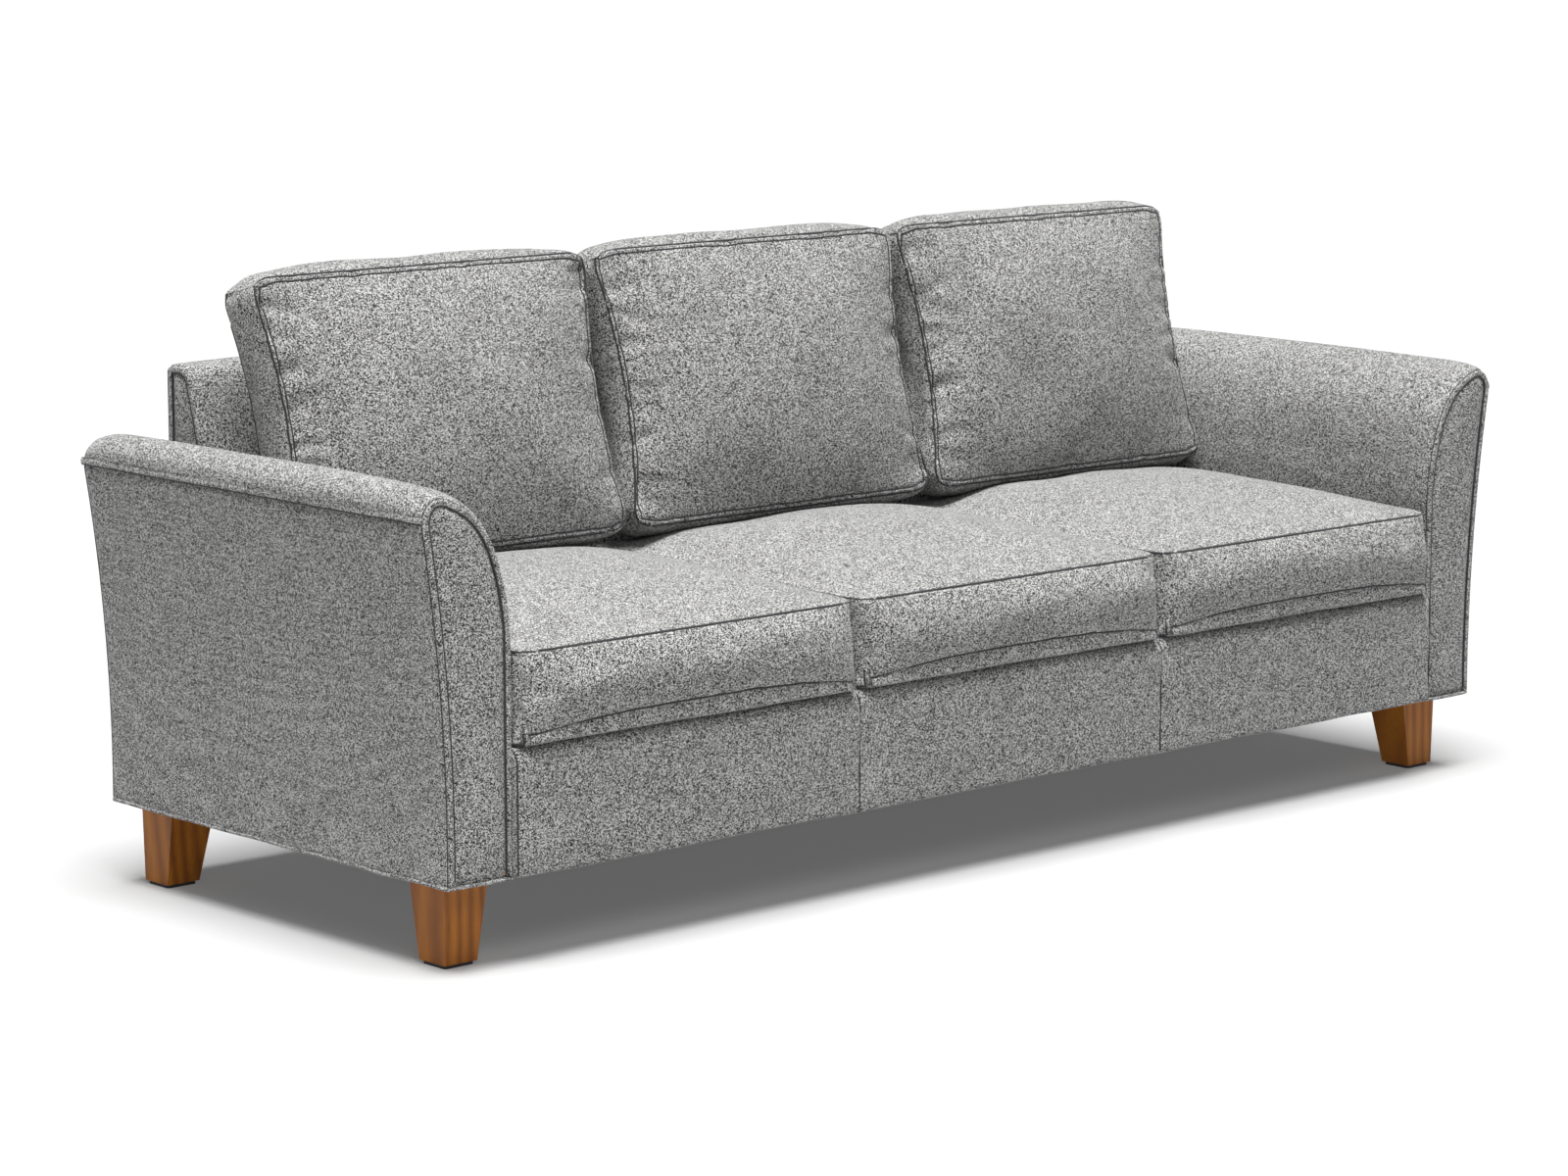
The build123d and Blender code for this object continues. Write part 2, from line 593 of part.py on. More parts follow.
# ---- Whole sofa -----------------------------------------------------------------------------
def arms():
    pieces = {}
    right_pieces = {**arm_boards(), **arm_covers(), "padding": arm_padding()}
    for side_name, side in SIDES.items():
        for piece_name, piece in right_pieces.items():
            pieces[f"{side_name}_arm_{piece_name}"] = on_side(piece, side)
    pieces["arm_outer_panels"] = group([on_side(arm_panel(), side) for side in SIDES.values()])
    pieces["arm_welts"] = group([on_side(arm_welt(), side) for side in SIDES.values()])
    return pieces


def sofa():
    spring = zigzag_spring()
    pieces = {f"leg_{name}": leg(x, y) for name, (x, y) in LEGS.items()}
    pieces.update(leg_hardware())
    pieces.update(base_timber())
    pieces["seat_springs"] = group([Pos(x, 0, 0) * spring for x in spring_places()])
    pieces["spring_clips"] = spring_clips()
    pieces.update(deck())
    pieces.update(front_rail_softs())
    pieces["dust_cover"] = dust_cover()
    pieces.update(arms())
    pieces.update(back_timber())
    pieces.update(back_softs())
    pieces["back_rear_cover"] = back_rear_cover()
    pieces.update(cushions())
    return pieces


os.makedirs("parts", exist_ok=True)
for node, shape in sofa().items():
    export_step(shape, f"parts/{node}.step")
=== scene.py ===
"""Looks of the three-seat sofa: upholstery, cushions, legs, light and camera.

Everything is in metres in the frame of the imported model: +X to the right of someone facing the
sofa, -Y to the front, +Z up, origin on the floor under its middle.
"""

import json
import math

import bmesh
import bpy
import numpy as np
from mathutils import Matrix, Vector
from mathutils.bvhtree import BVHTree


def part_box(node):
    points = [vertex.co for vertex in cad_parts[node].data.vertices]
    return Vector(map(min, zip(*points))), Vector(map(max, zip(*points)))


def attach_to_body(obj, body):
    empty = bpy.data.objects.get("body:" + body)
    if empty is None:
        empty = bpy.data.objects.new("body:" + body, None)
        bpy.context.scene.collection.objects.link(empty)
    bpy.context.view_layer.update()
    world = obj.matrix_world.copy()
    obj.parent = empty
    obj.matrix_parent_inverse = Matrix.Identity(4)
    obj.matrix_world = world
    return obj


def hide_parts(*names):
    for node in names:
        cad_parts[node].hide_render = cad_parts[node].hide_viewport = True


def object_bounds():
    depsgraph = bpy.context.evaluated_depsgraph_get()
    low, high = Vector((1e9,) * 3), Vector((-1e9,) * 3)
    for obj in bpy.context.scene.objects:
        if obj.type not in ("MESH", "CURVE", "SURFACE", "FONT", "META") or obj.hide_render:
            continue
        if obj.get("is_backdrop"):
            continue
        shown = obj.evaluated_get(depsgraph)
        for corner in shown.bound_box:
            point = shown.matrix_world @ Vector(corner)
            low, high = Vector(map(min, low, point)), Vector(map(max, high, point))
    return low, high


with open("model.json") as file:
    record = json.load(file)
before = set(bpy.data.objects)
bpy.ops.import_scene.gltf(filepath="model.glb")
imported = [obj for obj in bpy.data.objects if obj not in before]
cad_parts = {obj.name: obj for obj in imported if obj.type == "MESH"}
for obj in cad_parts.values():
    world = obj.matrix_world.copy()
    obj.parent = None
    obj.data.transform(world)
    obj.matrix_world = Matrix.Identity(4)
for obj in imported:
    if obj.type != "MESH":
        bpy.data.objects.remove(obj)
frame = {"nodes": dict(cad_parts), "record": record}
CAD_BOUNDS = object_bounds()

# ---- Driving sizes, read from the frame ------------------------------------------------------
FACING_LOW, FACING_HIGH = (np.array(corner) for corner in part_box("right_arm_facing"))
REAR_HIGH = np.array(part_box("back_rear_cover")[1])
BACK_HIGH = np.array(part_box("back_front_cover")[1])
RAIL_LOW, RAIL_HIGH = (np.array(corner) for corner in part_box("rail_cover_middle"))
DECK_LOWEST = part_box("deck_cover")[0][2]   # height of the deck's rear edge, where it is lowest
FRONT = FACING_LOW[1]              # front plane of the arms
REAR = REAR_HIGH[1]                # outside back
FOOT = FACING_LOW[2]               # lower edge of the arm covers
DECK_RAKE = math.radians(3.0)      # fall of the deck to the rear, as the pull-out joints run
BACK_CUSHION_LEAN = math.radians(14.0)

# ---- Cloth and seams -------------------------------------------------------------------------
CLOTH_THICKNESS = 0.0018
OUTLINE_STEP = 0.004               # spacing of the points along an outline
BAND = 0.0085                      # width of a lapped seam band
BAND_ROOT = 0.004                  # how far a band reaches into the piece under it
SHADE_LINE_RADIUS = 0.0011                    # radius of the dark painted-shade line in a seam
HEM = 0.0026                       # radius of the arms' rolled lower edge, height of their welts
PADDING = 0.004                    # how far the padding lifts a stretched cover
ARM_CREST = 0.011                  # and the thicker padding along the top of an arm
RNG_SEED = 7


# ---- Small helpers ---------------------------------------------------------------------------
def add_to_scene(name, data):
    made = bpy.data.objects.new(name, data)
    bpy.context.scene.collection.objects.link(made)
    return made


def new_object(name, vertices, faces, material, smooth=True):
    mesh = bpy.data.meshes.new(name)
    mesh.from_pydata([tuple(map(float, v)) for v in vertices], [], faces)
    mesh.validate()
    mesh.update()
    mesh.materials.append(material)
    for polygon in mesh.polygons:
        polygon.use_smooth = smooth
    return add_to_scene(name, mesh)


def grid_faces(rows, columns, closed=False, looped=False, flip=False):
    """Quads of a rows x columns grid of points; closed joins the last column to the first, and
    looped the last row to the first."""
    faces = []
    for i in range(rows if looped else rows - 1):
        this, following = i * columns, (i + 1) % rows * columns
        for j in range(columns if closed else columns - 1):
            k = (j + 1) % columns
            a, b, c, d = this + j, this + k, following + k, following + j
            faces.append((a, d, c, b) if flip else (a, b, c, d))
    return faces


def tidy(piece, merge=0.0):
    """Turns every face outwards, and first merges points closer than a distance."""
    work = bmesh.new()
    work.from_mesh(piece.data)
    if merge:
        bmesh.ops.remove_doubles(work, verts=work.verts, dist=merge)
        bmesh.ops.dissolve_degenerate(work, edges=work.edges, dist=merge)
    bmesh.ops.recalc_face_normals(work, faces=work.faces)
    work.to_mesh(piece.data)
    work.free()


def smooth_ease(t):
    """0 to 1 over t = 0..1, level at both ends."""
    t = np.clip(t, 0.0, 1.0)
    return t * t * (3 - 2 * t)


def resample(points, spacing):
    """The same polyline with evenly spaced points, its two ends kept."""
    points = np.asarray(points, float)
    steps = np.linalg.norm(np.diff(points, axis=0), axis=1)
    run = np.concatenate([[0], np.cumsum(steps)])
    count = max(int(round(run[-1] / spacing)), 2) + 1
    places = np.linspace(0, run[-1], count)
    return np.stack([np.interp(places, run, points[:, k]) for k in range(points.shape[1])], 1)


def relax(points, rounds):
    """Evens out a polyline, ends held."""
    points = np.array(points, float)
    for _ in range(rounds):
        points[1:-1] = 0.25 * points[:-2] + 0.5 * points[1:-1] + 0.25 * points[2:]
    return points


def directions(points, closed=False):
    """Unit tangents along a polyline."""
    if closed:
        ahead = np.roll(points, -1, 0) - np.roll(points, 1, 0)
    else:
        ahead = np.gradient(points, axis=0)
    return ahead / np.maximum(np.linalg.norm(ahead, axis=1, keepdims=True), 1e-9)


def wander(count, seed, size, smoothness):
    """A soft random walk about zero, the same each run, for hand-sewn unevenness."""
    noise = np.random.default_rng(seed).normal(0, 1, count + 4 * smoothness)
    kernel = np.hanning(2 * smoothness + 1)
    line = np.convolve(noise, kernel / np.linalg.norm(kernel), "same")
    return size * line[2 * smoothness:2 * smoothness + count]


def strip(name, path, normals, profile, material, closed=False):
    """Sweeps a flat profile of (across, up) points along a path lying on a surface."""
    tangents = directions(path, closed)
    across = np.cross(normals, tangents)
    across /= np.maximum(np.linalg.norm(across, axis=1, keepdims=True), 1e-9)
    rows = [path + side * across + up * normals for side, up in profile]
    vertices = np.stack(rows, 1).reshape(-1, 3)
    count = len(profile)
    faces = grid_faces(len(path), count, closed=True, looped=closed)
    if not closed:
        faces.append(tuple(range(count)))
        faces.append(tuple(reversed([(len(path) - 1) * count + j for j in range(count)])))
    piece = new_object(name, vertices, faces, material)
    tidy(piece, 1e-6)
    return piece


def circle(radius, count, sink=0.0):
    """A round profile, its middle a little below the surface where sink is positive."""
    turn = np.linspace(0, 2 * math.pi, count, endpoint=False)
    return [(radius * math.cos(a), radius * math.sin(a) - sink) for a in turn]


def band(name, path, normals, width=BAND, height=0.0018):
    """A folded seam allowance: a low half-round rib of cloth along a path."""
    half = width / 2
    turn = np.linspace(math.pi, 0, 9)
    profile = [(half * math.cos(a), height * math.sin(a) ** 0.6) for a in turn]
    profile += [(half * 0.9, -BAND_ROOT), (-half * 0.9, -BAND_ROOT)]
    return strip(name, path, normals, profile, CLOTH)


def painted_shade_line(name, path, normals, radius=SHADE_LINE_RADIUS, sink=0.0003, closed=False):
    """A dark tube of painted shade along the crease of a closed seam."""
    return strip(name, path, normals, circle(radius, 8, sink), SHADE_LINE_PAINT, closed)


# ---- Materials -------------------------------------------------------------------------------
class Nodes:
    """Short words for building a material's nodes."""

    def __init__(self, name):
        self.material = bpy.data.materials.new(name)
        self.material.use_nodes = True
        self.tree = self.material.node_tree
        self.tree.nodes.clear()
        self.output = self.tree.nodes.new("ShaderNodeOutputMaterial")
        self.shader = self.tree.nodes.new("ShaderNodeBsdfPrincipled")
        self.link(self.shader.outputs[0], self.output.inputs[0])
        self.coordinate = self.tree.nodes.new("ShaderNodeTexCoord")
        self.place = self.coordinate.outputs["Object"]

    def link(self, source, target):
        self.tree.links.new(source, target)

    def node(self, kind, **settings):
        made = self.tree.nodes.new(kind)
        for key, value in settings.items():
            setattr(made, key, value)
        return made

    def feed(self, socket, value):
        """Gives an input another node's output, or a plain value."""
        if hasattr(value, "is_output"):
            self.link(value, socket)
        else:
            socket.default_value = value

    def mapped(self, made, vector, **values):
        """Feeds a node its vector, or the place on the piece, and its other inputs."""
        self.link(vector or self.place, made.inputs["Vector"])
        for label, value in values.items():
            made.inputs[label.replace("_", " ")].default_value = value
        return made.outputs

    def stretched(self, scale, turn=(0, 0, 0), source=None, shift=(0, 0, 0)):
        made = self.node("ShaderNodeMapping")
        return self.mapped(made, source, Location=shift, Rotation=turn, Scale=scale)[0]

    def noise(self, scale, detail=2.0, roughness=0.5, vector=None):
        made = self.node("ShaderNodeTexNoise")
        values = {"Scale": scale, "Detail": detail, "Roughness": roughness}
        return self.mapped(made, vector, **values)["Fac"]

    def cells(self, scale, output="Color"):
        made = self.node("ShaderNodeTexVoronoi")
        return self.mapped(made, None, Scale=scale)[output]

    def rings(self, vector, scale, distortion, detail, detail_scale):
        """Growth rings round the Z axis of a vector."""
        made = self.node("ShaderNodeTexWave", wave_type="RINGS", rings_direction="Z")
        values = {"Scale": scale, "Distortion": distortion, "Detail": detail,
                  "Detail Scale": detail_scale}
        return self.mapped(made, vector, **values)["Fac"]

    def axes(self, vector):
        """The three numbers of a vector."""
        made = self.node("ShaderNodeSeparateXYZ")
        self.link(vector, made.inputs[0])
        return made.outputs

    def math(self, operation, first, second=0.0):
        made = self.node("ShaderNodeMath", operation=operation)
        self.feed(made.inputs[0], first)
        self.feed(made.inputs[1], second)
        return made.outputs[0]

    def sum(self, *terms):
        """The sum of (output, weight) pairs."""
        total = None
        for output, weight in terms:
            part = self.math("MULTIPLY", output, weight)
            total = part if total is None else self.math("ADD", total, part)
        return total

    def ramp(self, factor, stops):
        made = self.node("ShaderNodeValToRGB")
        self.link(factor, made.inputs[0])
        while len(made.color_ramp.elements) < len(stops):
            made.color_ramp.elements.new(0.5)
        for element, (place, colour) in zip(made.color_ramp.elements, stops):
            element.position = place
            element.color = (*colour, 1.0)
        return made.outputs[0]

    def tinted(self, factor, first, second):
        """A colour multiplied by another, by a share."""
        made = self.node("ShaderNodeMix", data_type="RGBA", blend_type="MULTIPLY")
        self.feed(made.inputs["Factor"], factor)
        self.feed(made.inputs[6], first)
        self.feed(made.inputs[7], second)
        return made.outputs[2]

    def bump(self, height, strength, distance):
        made = self.node("ShaderNodeBump")
        made.inputs["Strength"].default_value = strength
        made.inputs["Distance"].default_value = distance
        self.link(height, made.inputs["Height"])
        self.link(made.outputs[0], self.shader.inputs["Normal"])

    def colour(self, value):
        self.feed(self.shader.inputs["Base Color"], value)

    def roughness(self, output, spread, least):
        """Roughness from an output that varies by a spread over the least value."""
        varied = self.math("ADD", self.math("MULTIPLY", output, spread), least)
        self.link(varied, self.shader.inputs["Roughness"])

    def shaded(self, output, colour, share=0.8, low=0.3, high=0.7):
        """A colour that darkens to a share of itself where an output is low."""
        darker = tuple(share * c for c in colour)
        self.colour(self.ramp(output, [(low, darker), (high, colour)]))

    def set(self, **values):
        for key, value in values.items():
            self.shader.inputs[key.replace("_", " ")].default_value = value


def grey(value):
    """A neutral grey with the cloth's faint warmth."""
    return (value, value, value * 0.98)


def woven_height(n, thread_pitch):
    """Over-and-under of a plain weave on whichever face the surface turns towards."""
    place, facing = n.axes(n.place), n.axes(n.coordinate.outputs["Normal"])
    waves = [n.math("SINE", n.math("MULTIPLY", place[axis], math.pi / thread_pitch))
             for axis in range(3)]
    terms = []
    for axis in range(3):
        first, second = (waves[k] for k in range(3) if k != axis)
        weight = n.math("POWER", n.math("ABSOLUTE", facing[axis]), 4.0)
        terms.append((n.math("MULTIPLY", first, second), weight))
    return n.sum(*terms)


def melange_cloth(name):
    """Grey heather cloth: dark and pale fibres spun together in a plain weave."""
    n = Nodes(name)
    fibre = n.noise(720, 2.0, 0.8)
    fleck = n.node("ShaderNodeSeparateColor")
    n.link(n.cells(860), fleck.inputs[0])
    cloud = n.noise(26, 3.0, 0.6)
    grain = n.sum((fibre, 1.3), (fleck.outputs[0], 0.80), (cloud, 0.12))
    n.colour(n.ramp(n.math("SUBTRACT", grain, 0.62), [
        (0.36, grey(0.008)),
        (0.47, grey(0.044)),
        (0.53, grey(0.148)),
        (0.65, grey(0.465)),
    ]))
    n.set(Roughness=0.92, Sheen_Weight=0.12, Sheen_Roughness=0.5, Specular_IOR_Level=0.2)
    n.bump(n.sum((woven_height(n, 0.0016), 0.35), (fibre, 1.0)), 0.22, 0.0008)
    return n.material


def plain_cloth(name, dark, light, scale=500, bump=0.4):
    n = Nodes(name)
    fibre = n.noise(scale, 2.0, 0.6)
    n.colour(n.ramp(fibre, [(0.3, dark), (0.7, light)]))
    n.set(Roughness=0.95, Sheen_Weight=0.15)
    n.bump(n.sum((woven_height(n, 0.0012), 0.3), (fibre, 1.0)), bump, 0.0006)
    return n.material


def softwood(name, dark, mid, light):
    """Sawn softwood with its growth rings running along the rails, and fine pores."""
    n = Nodes(name)
    turn = (0, math.pi / 2, 0)
    sway = n.noise(7.0, 2.0, 0.5, n.stretched((1.0, 1.0, 0.45), turn))
    rings = n.rings(n.stretched((1.0, 1.0, 0.16), turn), 26.0, 5.0, 3.0, 1.4)
    pores = n.noise(900, 2.0, 0.6, n.stretched((1.0, 1.0, 0.05), turn))
    tone = n.ramp(n.sum((rings, 0.42), (sway, 0.62)), [(0.22, dark), (0.5, mid), (0.80, light)])
    fine = n.ramp(pores, [(0.32, (0.55, 0.50, 0.46)), (0.52, (1.0, 1.0, 1.0))])
    n.colour(n.tinted(0.55, tone, fine))
    n.roughness(sway, 0.14, 0.36)
    n.set(Coat_Weight=0.12, Coat_Roughness=0.3)
    n.bump(n.sum((pores, 0.6), (rings, 1.0)), 0.25, 0.0003)
    return n.material


def leg_wood(name, number):
    """Honey-brown oiled hardwood: curved growth rings cut at a slant, fine pores, soft oil."""
    n = Nodes(name)
    own = n.stretched((1, 1, 1), shift=(0.13 * number, 0.07 * number, 0.31 * number))
    trunk = n.stretched((1.0, 1.0, 0.30), (0.20, 0.16, 0.0), own)
    sway = n.noise(9.0, 2.0, 0.5, trunk)
    rings = n.rings(trunk, 17.0, 2.4, 2.0, 1.2)
    fibres = n.noise(520, 3.0, 0.65, n.stretched((1.0, 1.0, 0.045), source=own))
    tone = n.ramp(n.sum((rings, 0.34), (sway, 0.62)), [
        (0.22, (0.190, 0.054, 0.002)),
        (0.48, (0.315, 0.100, 0.004)),
        (0.75, (0.405, 0.145, 0.009)),
    ])
    fine = n.ramp(fibres, [(0.30, (0.62, 0.56, 0.50)), (0.55, (1.0, 1.0, 1.0))])
    n.colour(n.tinted(0.6, tone, fine))
    n.roughness(sway, 0.16, 0.40)
    n.set(Specular_IOR_Level=0.3)
    n.bump(n.sum((fibres, 0.7), (rings, 1.0)), 0.2, 0.0003)
    return n.material


def metal(name, colour, roughness):
    """Drawn or rolled metal with faint streaks."""
    n = Nodes(name)
    streak = n.noise(240, 3.0, 0.6, n.stretched((1.0, 0.15, 1.0)))
    n.shaded(streak, colour)
    n.roughness(streak, 0.2, roughness)
    n.set(Metallic=1.0)
    n.bump(streak, 0.15, 0.0002)
    return n.material


def plastic(name, colour):
    """Moulded plastic with a fine grain."""
    n = Nodes(name)
    grain = n.noise(1400, 2.0, 0.5)
    n.shaded(grain, colour)
    n.roughness(grain, 0.2, 0.45)
    n.bump(grain, 0.2, 0.0001)
    return n.material


def foam(name, colour):
    """Open-celled foam."""
    n = Nodes(name)
    pores = n.cells(420, output="Distance")
    n.shaded(pores, colour, 0.6, 0.0, 0.6)
    n.set(Roughness=0.95)
    n.bump(pores, 0.5, 0.001)
    return n.material


def layered_board(name, pale, dark, sheet=0.0015):
    """Plywood or fibreboard: pale face with fine grain and thin darker sheets on its edges."""
    n = Nodes(name)
    grain = n.noise(60, 4.0, 0.6, n.stretched((6.0, 0.6, 1.0)))
    layers = n.math("SINE", n.math("MULTIPLY", n.axes(n.place)[1], math.pi / sheet))
    n.colour(n.ramp(n.sum((grain, 1.0), (layers, 0.08)), [(0.3, dark), (0.65, pale)]))
    n.set(Roughness=0.7)
    n.bump(grain, 0.2, 0.0004)
    return n.material


MATERIALS = {
    "melange_cloth": melange_cloth("cloth_grey_melange"),
    "walnut_legs": leg_wood("leg_wood", 0),
    "frame_timber": softwood("frame_softwood", (0.38, 0.24, 0.12), (0.58, 0.40, 0.22),
                             (0.70, 0.52, 0.32)),
    "birch_plywood": layered_board("frame_plywood", (0.66, 0.50, 0.32), (0.42, 0.28, 0.15)),
    "fibreboard": layered_board("panel_fibreboard", (0.34, 0.23, 0.14), (0.22, 0.14, 0.08)),
    "foam": foam("padding_foam", (0.75, 0.70, 0.48)),
    "cushion_filling": foam("cushion_fill", (0.80, 0.78, 0.72)),
    "lining": plain_cloth("lining_black", (0.008, 0.008, 0.009), (0.03, 0.03, 0.032), 300),
    "webbing": plain_cloth("webbing_grey", (0.02, 0.02, 0.024), (0.07, 0.07, 0.08), 700),
    "spring_steel": metal("wire_steel", (0.55, 0.55, 0.56), 0.28),
    "zinc_steel": metal("plate_zinc", (0.62, 0.62, 0.58), 0.38),
    "glide_plastic": plastic("glide_black", (0.012, 0.012, 0.013)),
}
CLOTH = MATERIALS["melange_cloth"]
# Near-black cloth for the lines of painted shade in the seams.
SHADE_LINE_PAINT = plain_cloth("seam_shadow", (0.006, 0.006, 0.007), (0.03, 0.03, 0.032), 900, 0.2)


def dress_frame():
    """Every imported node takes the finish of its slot."""
    slots = {entry["node"]: entry["material_slot"] for entry in frame["record"]["subparts"]}
    for name, node in frame["nodes"].items():
        node.data.materials.clear()
        node.data.materials.append(MATERIALS[slots[name]])


# ---- Pieces of cloth -------------------------------------------------------------------------
def attach(piece, body="frame", stands_for=()):
    """Makes a cloth piece part of a body, in place of the nodes that it stands for."""
    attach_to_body(piece, body)
    if stands_for:
        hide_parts(*stands_for)


def cover(name, rows, stands_for, flip=False):
    """A stretched sheet of cloth through rows of points, as a closed solid."""
    rows = np.array(rows)
    faces = grid_faces(*rows.shape[:2], flip=flip)
    piece = new_object(name, rows.reshape(-1, 3), faces, CLOTH)
    solid = piece.modifiers.new("thickness", "SOLIDIFY")
    solid.thickness = CLOTH_THICKNESS
    solid.offset = -1.0
    attach(piece, stands_for=stands_for)


def at_x(x, line):
    """A (y, z) line put in space at one x."""
    return np.stack([np.full(len(line), x), line[:, 0], line[:, 1]], 1)


def same_normal(path, direction):
    """One direction as the normal of every point of a path."""
    return np.tile(np.array(direction, float), (len(path), 1))


# ---- Outlines read from the frame ------------------------------------------------------------
def end_face(node, axis, others):
    """Points of a node's lowest face along an axis, in the two other axes."""
    points = np.array([v.co[:] for v in frame["nodes"][node].data.vertices])
    face = points[points[:, axis] < points[:, axis].min() + 1e-4][:, others]
    return np.unique(np.round(face, 6), axis=0)


def clockwise(points, middle, start):
    """Outline points in clockwise order round a middle, from the one nearest to start."""
    turn = np.arctan2(points[:, 1] - middle[1], points[:, 0] - middle[0])
    first = np.argmin(np.hypot(*(points - start).T))
    order = np.argsort(-((turn - turn[first] + 1e-6) % (2 * math.pi)))
    return np.vstack([points[first], points[[k for k in order if k != first]]])


def arm_section():
    """The right arm's outline as (x, z): inner foot, up, over the top, outer foot."""
    rim = end_face("right_arm_facing", 1, [0, 2])
    middle = (0.5 * (FACING_LOW[0] + FACING_HIGH[0]) - 0.015, 0.38)
    line = clockwise(rim, middle, (FACING_LOW[0], FOOT))
    return relax(resample(line, OUTLINE_STEP), 6)


def back_section():
    """The fixed back's outline as (y, z): front foot, up the lean, over the top, rear foot."""
    rim = end_face("back_end_covers", 0, [1, 2])
    low, high = rim.min(0), rim.max(0)
    line = clockwise(rim, (0.6 * low[0] + 0.4 * high[0] + 0.05, 0.45), low)
    line[:, 1] += 0.005 * smooth_ease((line[:, 1] - 0.60) / 0.10)
    return relax(resample(line, OUTLINE_STEP), 8)


def outward(section):
    """Unit normals of a clockwise outline, away from its middle."""
    tangent = directions(section)
    return np.stack([-tangent[:, 1], tangent[:, 0]], 1)


def fuller_top(section, low, rise):
    """The arm's padded top stands a little over its frame, from the inner slope to the side seam."""
    flare = int(np.argmax(section[:, 0]))
    start = int(np.argmax(section[:, 1] > low))
    share = np.clip((np.arange(len(section)) - start) / (flare - start), 0, 1)
    lifted = section.copy()
    lifted[:, 1] += rise * np.sin(math.pi * share) ** 0.9
    return resample(lifted, OUTLINE_STEP)


SECTION = fuller_top(arm_section(), 0.50, 0.010)
SECTION_OUT = outward(SECTION)
FLARE = int(np.argmax(SECTION[:, 0]))
BACK = back_section()
BACK_OUT = outward(BACK)
BACK_HALF = BACK_HIGH[0] + 0.002


# ---- Panels with a banded edge ---------------------------------------------------------------
def spine(section, reach):
    """The middle line of an outline, for each of its points."""
    foot, top = section[:, 1].min(), section[:, 1].max()
    z = np.clip(section[:, 1], foot + reach, top - 0.7 * reach)
    peak = int(np.argmax(section[:, 1]))
    near = np.interp(z, section[:peak, 1], section[:peak, 0])
    far = np.interp(z, section[peak:, 1][::-1], section[peak:, 0][::-1])
    return np.stack([0.5 * (near + far), z], 1)


def inset(section, outs, core, amount):
    """An outline moved in towards its middle line by an even amount."""
    inwards = core - section
    reach = np.linalg.norm(inwards, axis=1, keepdims=True)
    inwards /= reach
    share = np.maximum(-(inwards * outs).sum(1), 0.62)
    return section + inwards * np.minimum(amount / share[:, None], reach)


PANEL_WRAP = 0.014                 # a panel's cloth turns this far back over its edge
PANEL_EDGE = 0.0012                # and its rim lies this far under the finished face
BAND_MIDDLE = 0.0053               # middle of the band, in from the rim
BAND_SEAM = 0.0104                 # the seam along the band's inner side


def banded_panel(name, section, outs, place, stands_for=(), puff=0.006, turned=False):
    """A padded panel inside a raised band; place(points, height) puts the outline in space."""
    core = spine(section, 0.05)
    steps = [(0.0, -PANEL_WRAP), (0.0, -0.003), (0.0008, -PANEL_EDGE), (0.0095, -0.0040)]
    rows = [place(inset(section, outs, core, amount), height) for amount, height in steps]
    start = inset(section, outs, core, BAND_SEAM + 0.0002)
    for t in np.linspace(0, 1, 14):
        swell = puff * (1 - (1 - t) ** 3) - PANEL_EDGE
        rows.append(place(start + (core - start) * t, swell))
    rows = np.array(rows)
    faces = grid_faces(len(rows), rows.shape[1], closed=True, flip=turned)
    panel = new_object(f"{name}_cloth", rows.reshape(-1, 3), faces, CLOTH)
    tidy(panel, 1e-5)
    attach(panel, stands_for=stands_for)
    up = place(section, 1.0) - place(section, 0.0)
    rib = band(f"{name}_band", place(inset(section, outs, core, BAND_MIDDLE), 0.0004), up,
               height=HEM)
    attach(rib)
    # The seam beside the band and the line at the panel's rim are dark tubes of painted shade.
    for kind, amount, height, radius in (("seam", BAND_SEAM, 0.0014, 0.0015),
                                         ("edge", 0.0006, -PANEL_EDGE, 0.0008)):
        path = place(inset(section, outs, core, amount), height)
        attach(painted_shade_line(f"{name}_{kind}", path, up, radius=radius))
    return rib


# ---- Arms ------------------------------------------------------------------------------------
def edge_pinch(distance, width, depth):
    """How far cloth dips towards a seam, by its distance from it."""
    return -depth * np.exp(-np.maximum(distance, 0) / width)


def mirrored(points, side):
    """Points of the right arm, or turned over to the left one where side is -1."""
    points = np.array(points, float)
    points[..., 0] *= side
    return points


def cover_rows(low, high):
    """Places along a cover, close together where the cloth turns its two end edges."""
    turn = np.array([0.0, 0.0015, 0.0035, 0.0065])
    inside = np.linspace(low + 0.012, high - 0.012, int((high - low) / 0.008))
    return np.concatenate([low + turn, inside, high - turn[::-1]])


def rounded_end(rows, radius):
    """How far in a cover sits near its two ends, for a rounded edge."""
    from_end = np.minimum(rows - rows[0], rows[-1] - rows)
    t = np.clip(from_end / radius, 0, 1)
    return radius * (1 - np.sqrt(1 - (1 - t) ** 2))


def ripple(seed, size):
    """A smooth uneven surface over two shares 0..1, the same each run."""
    draw = np.random.default_rng(seed)
    waves = [(draw.uniform(5, 22), draw.uniform(3, 13), *draw.uniform(0, 6.3, 2))
             for _ in range(5)]

    def height(u, v):
        return size * sum(np.sin(a * u + c) * np.sin(b * v + d) for a, b, c, d in waves)
    return height


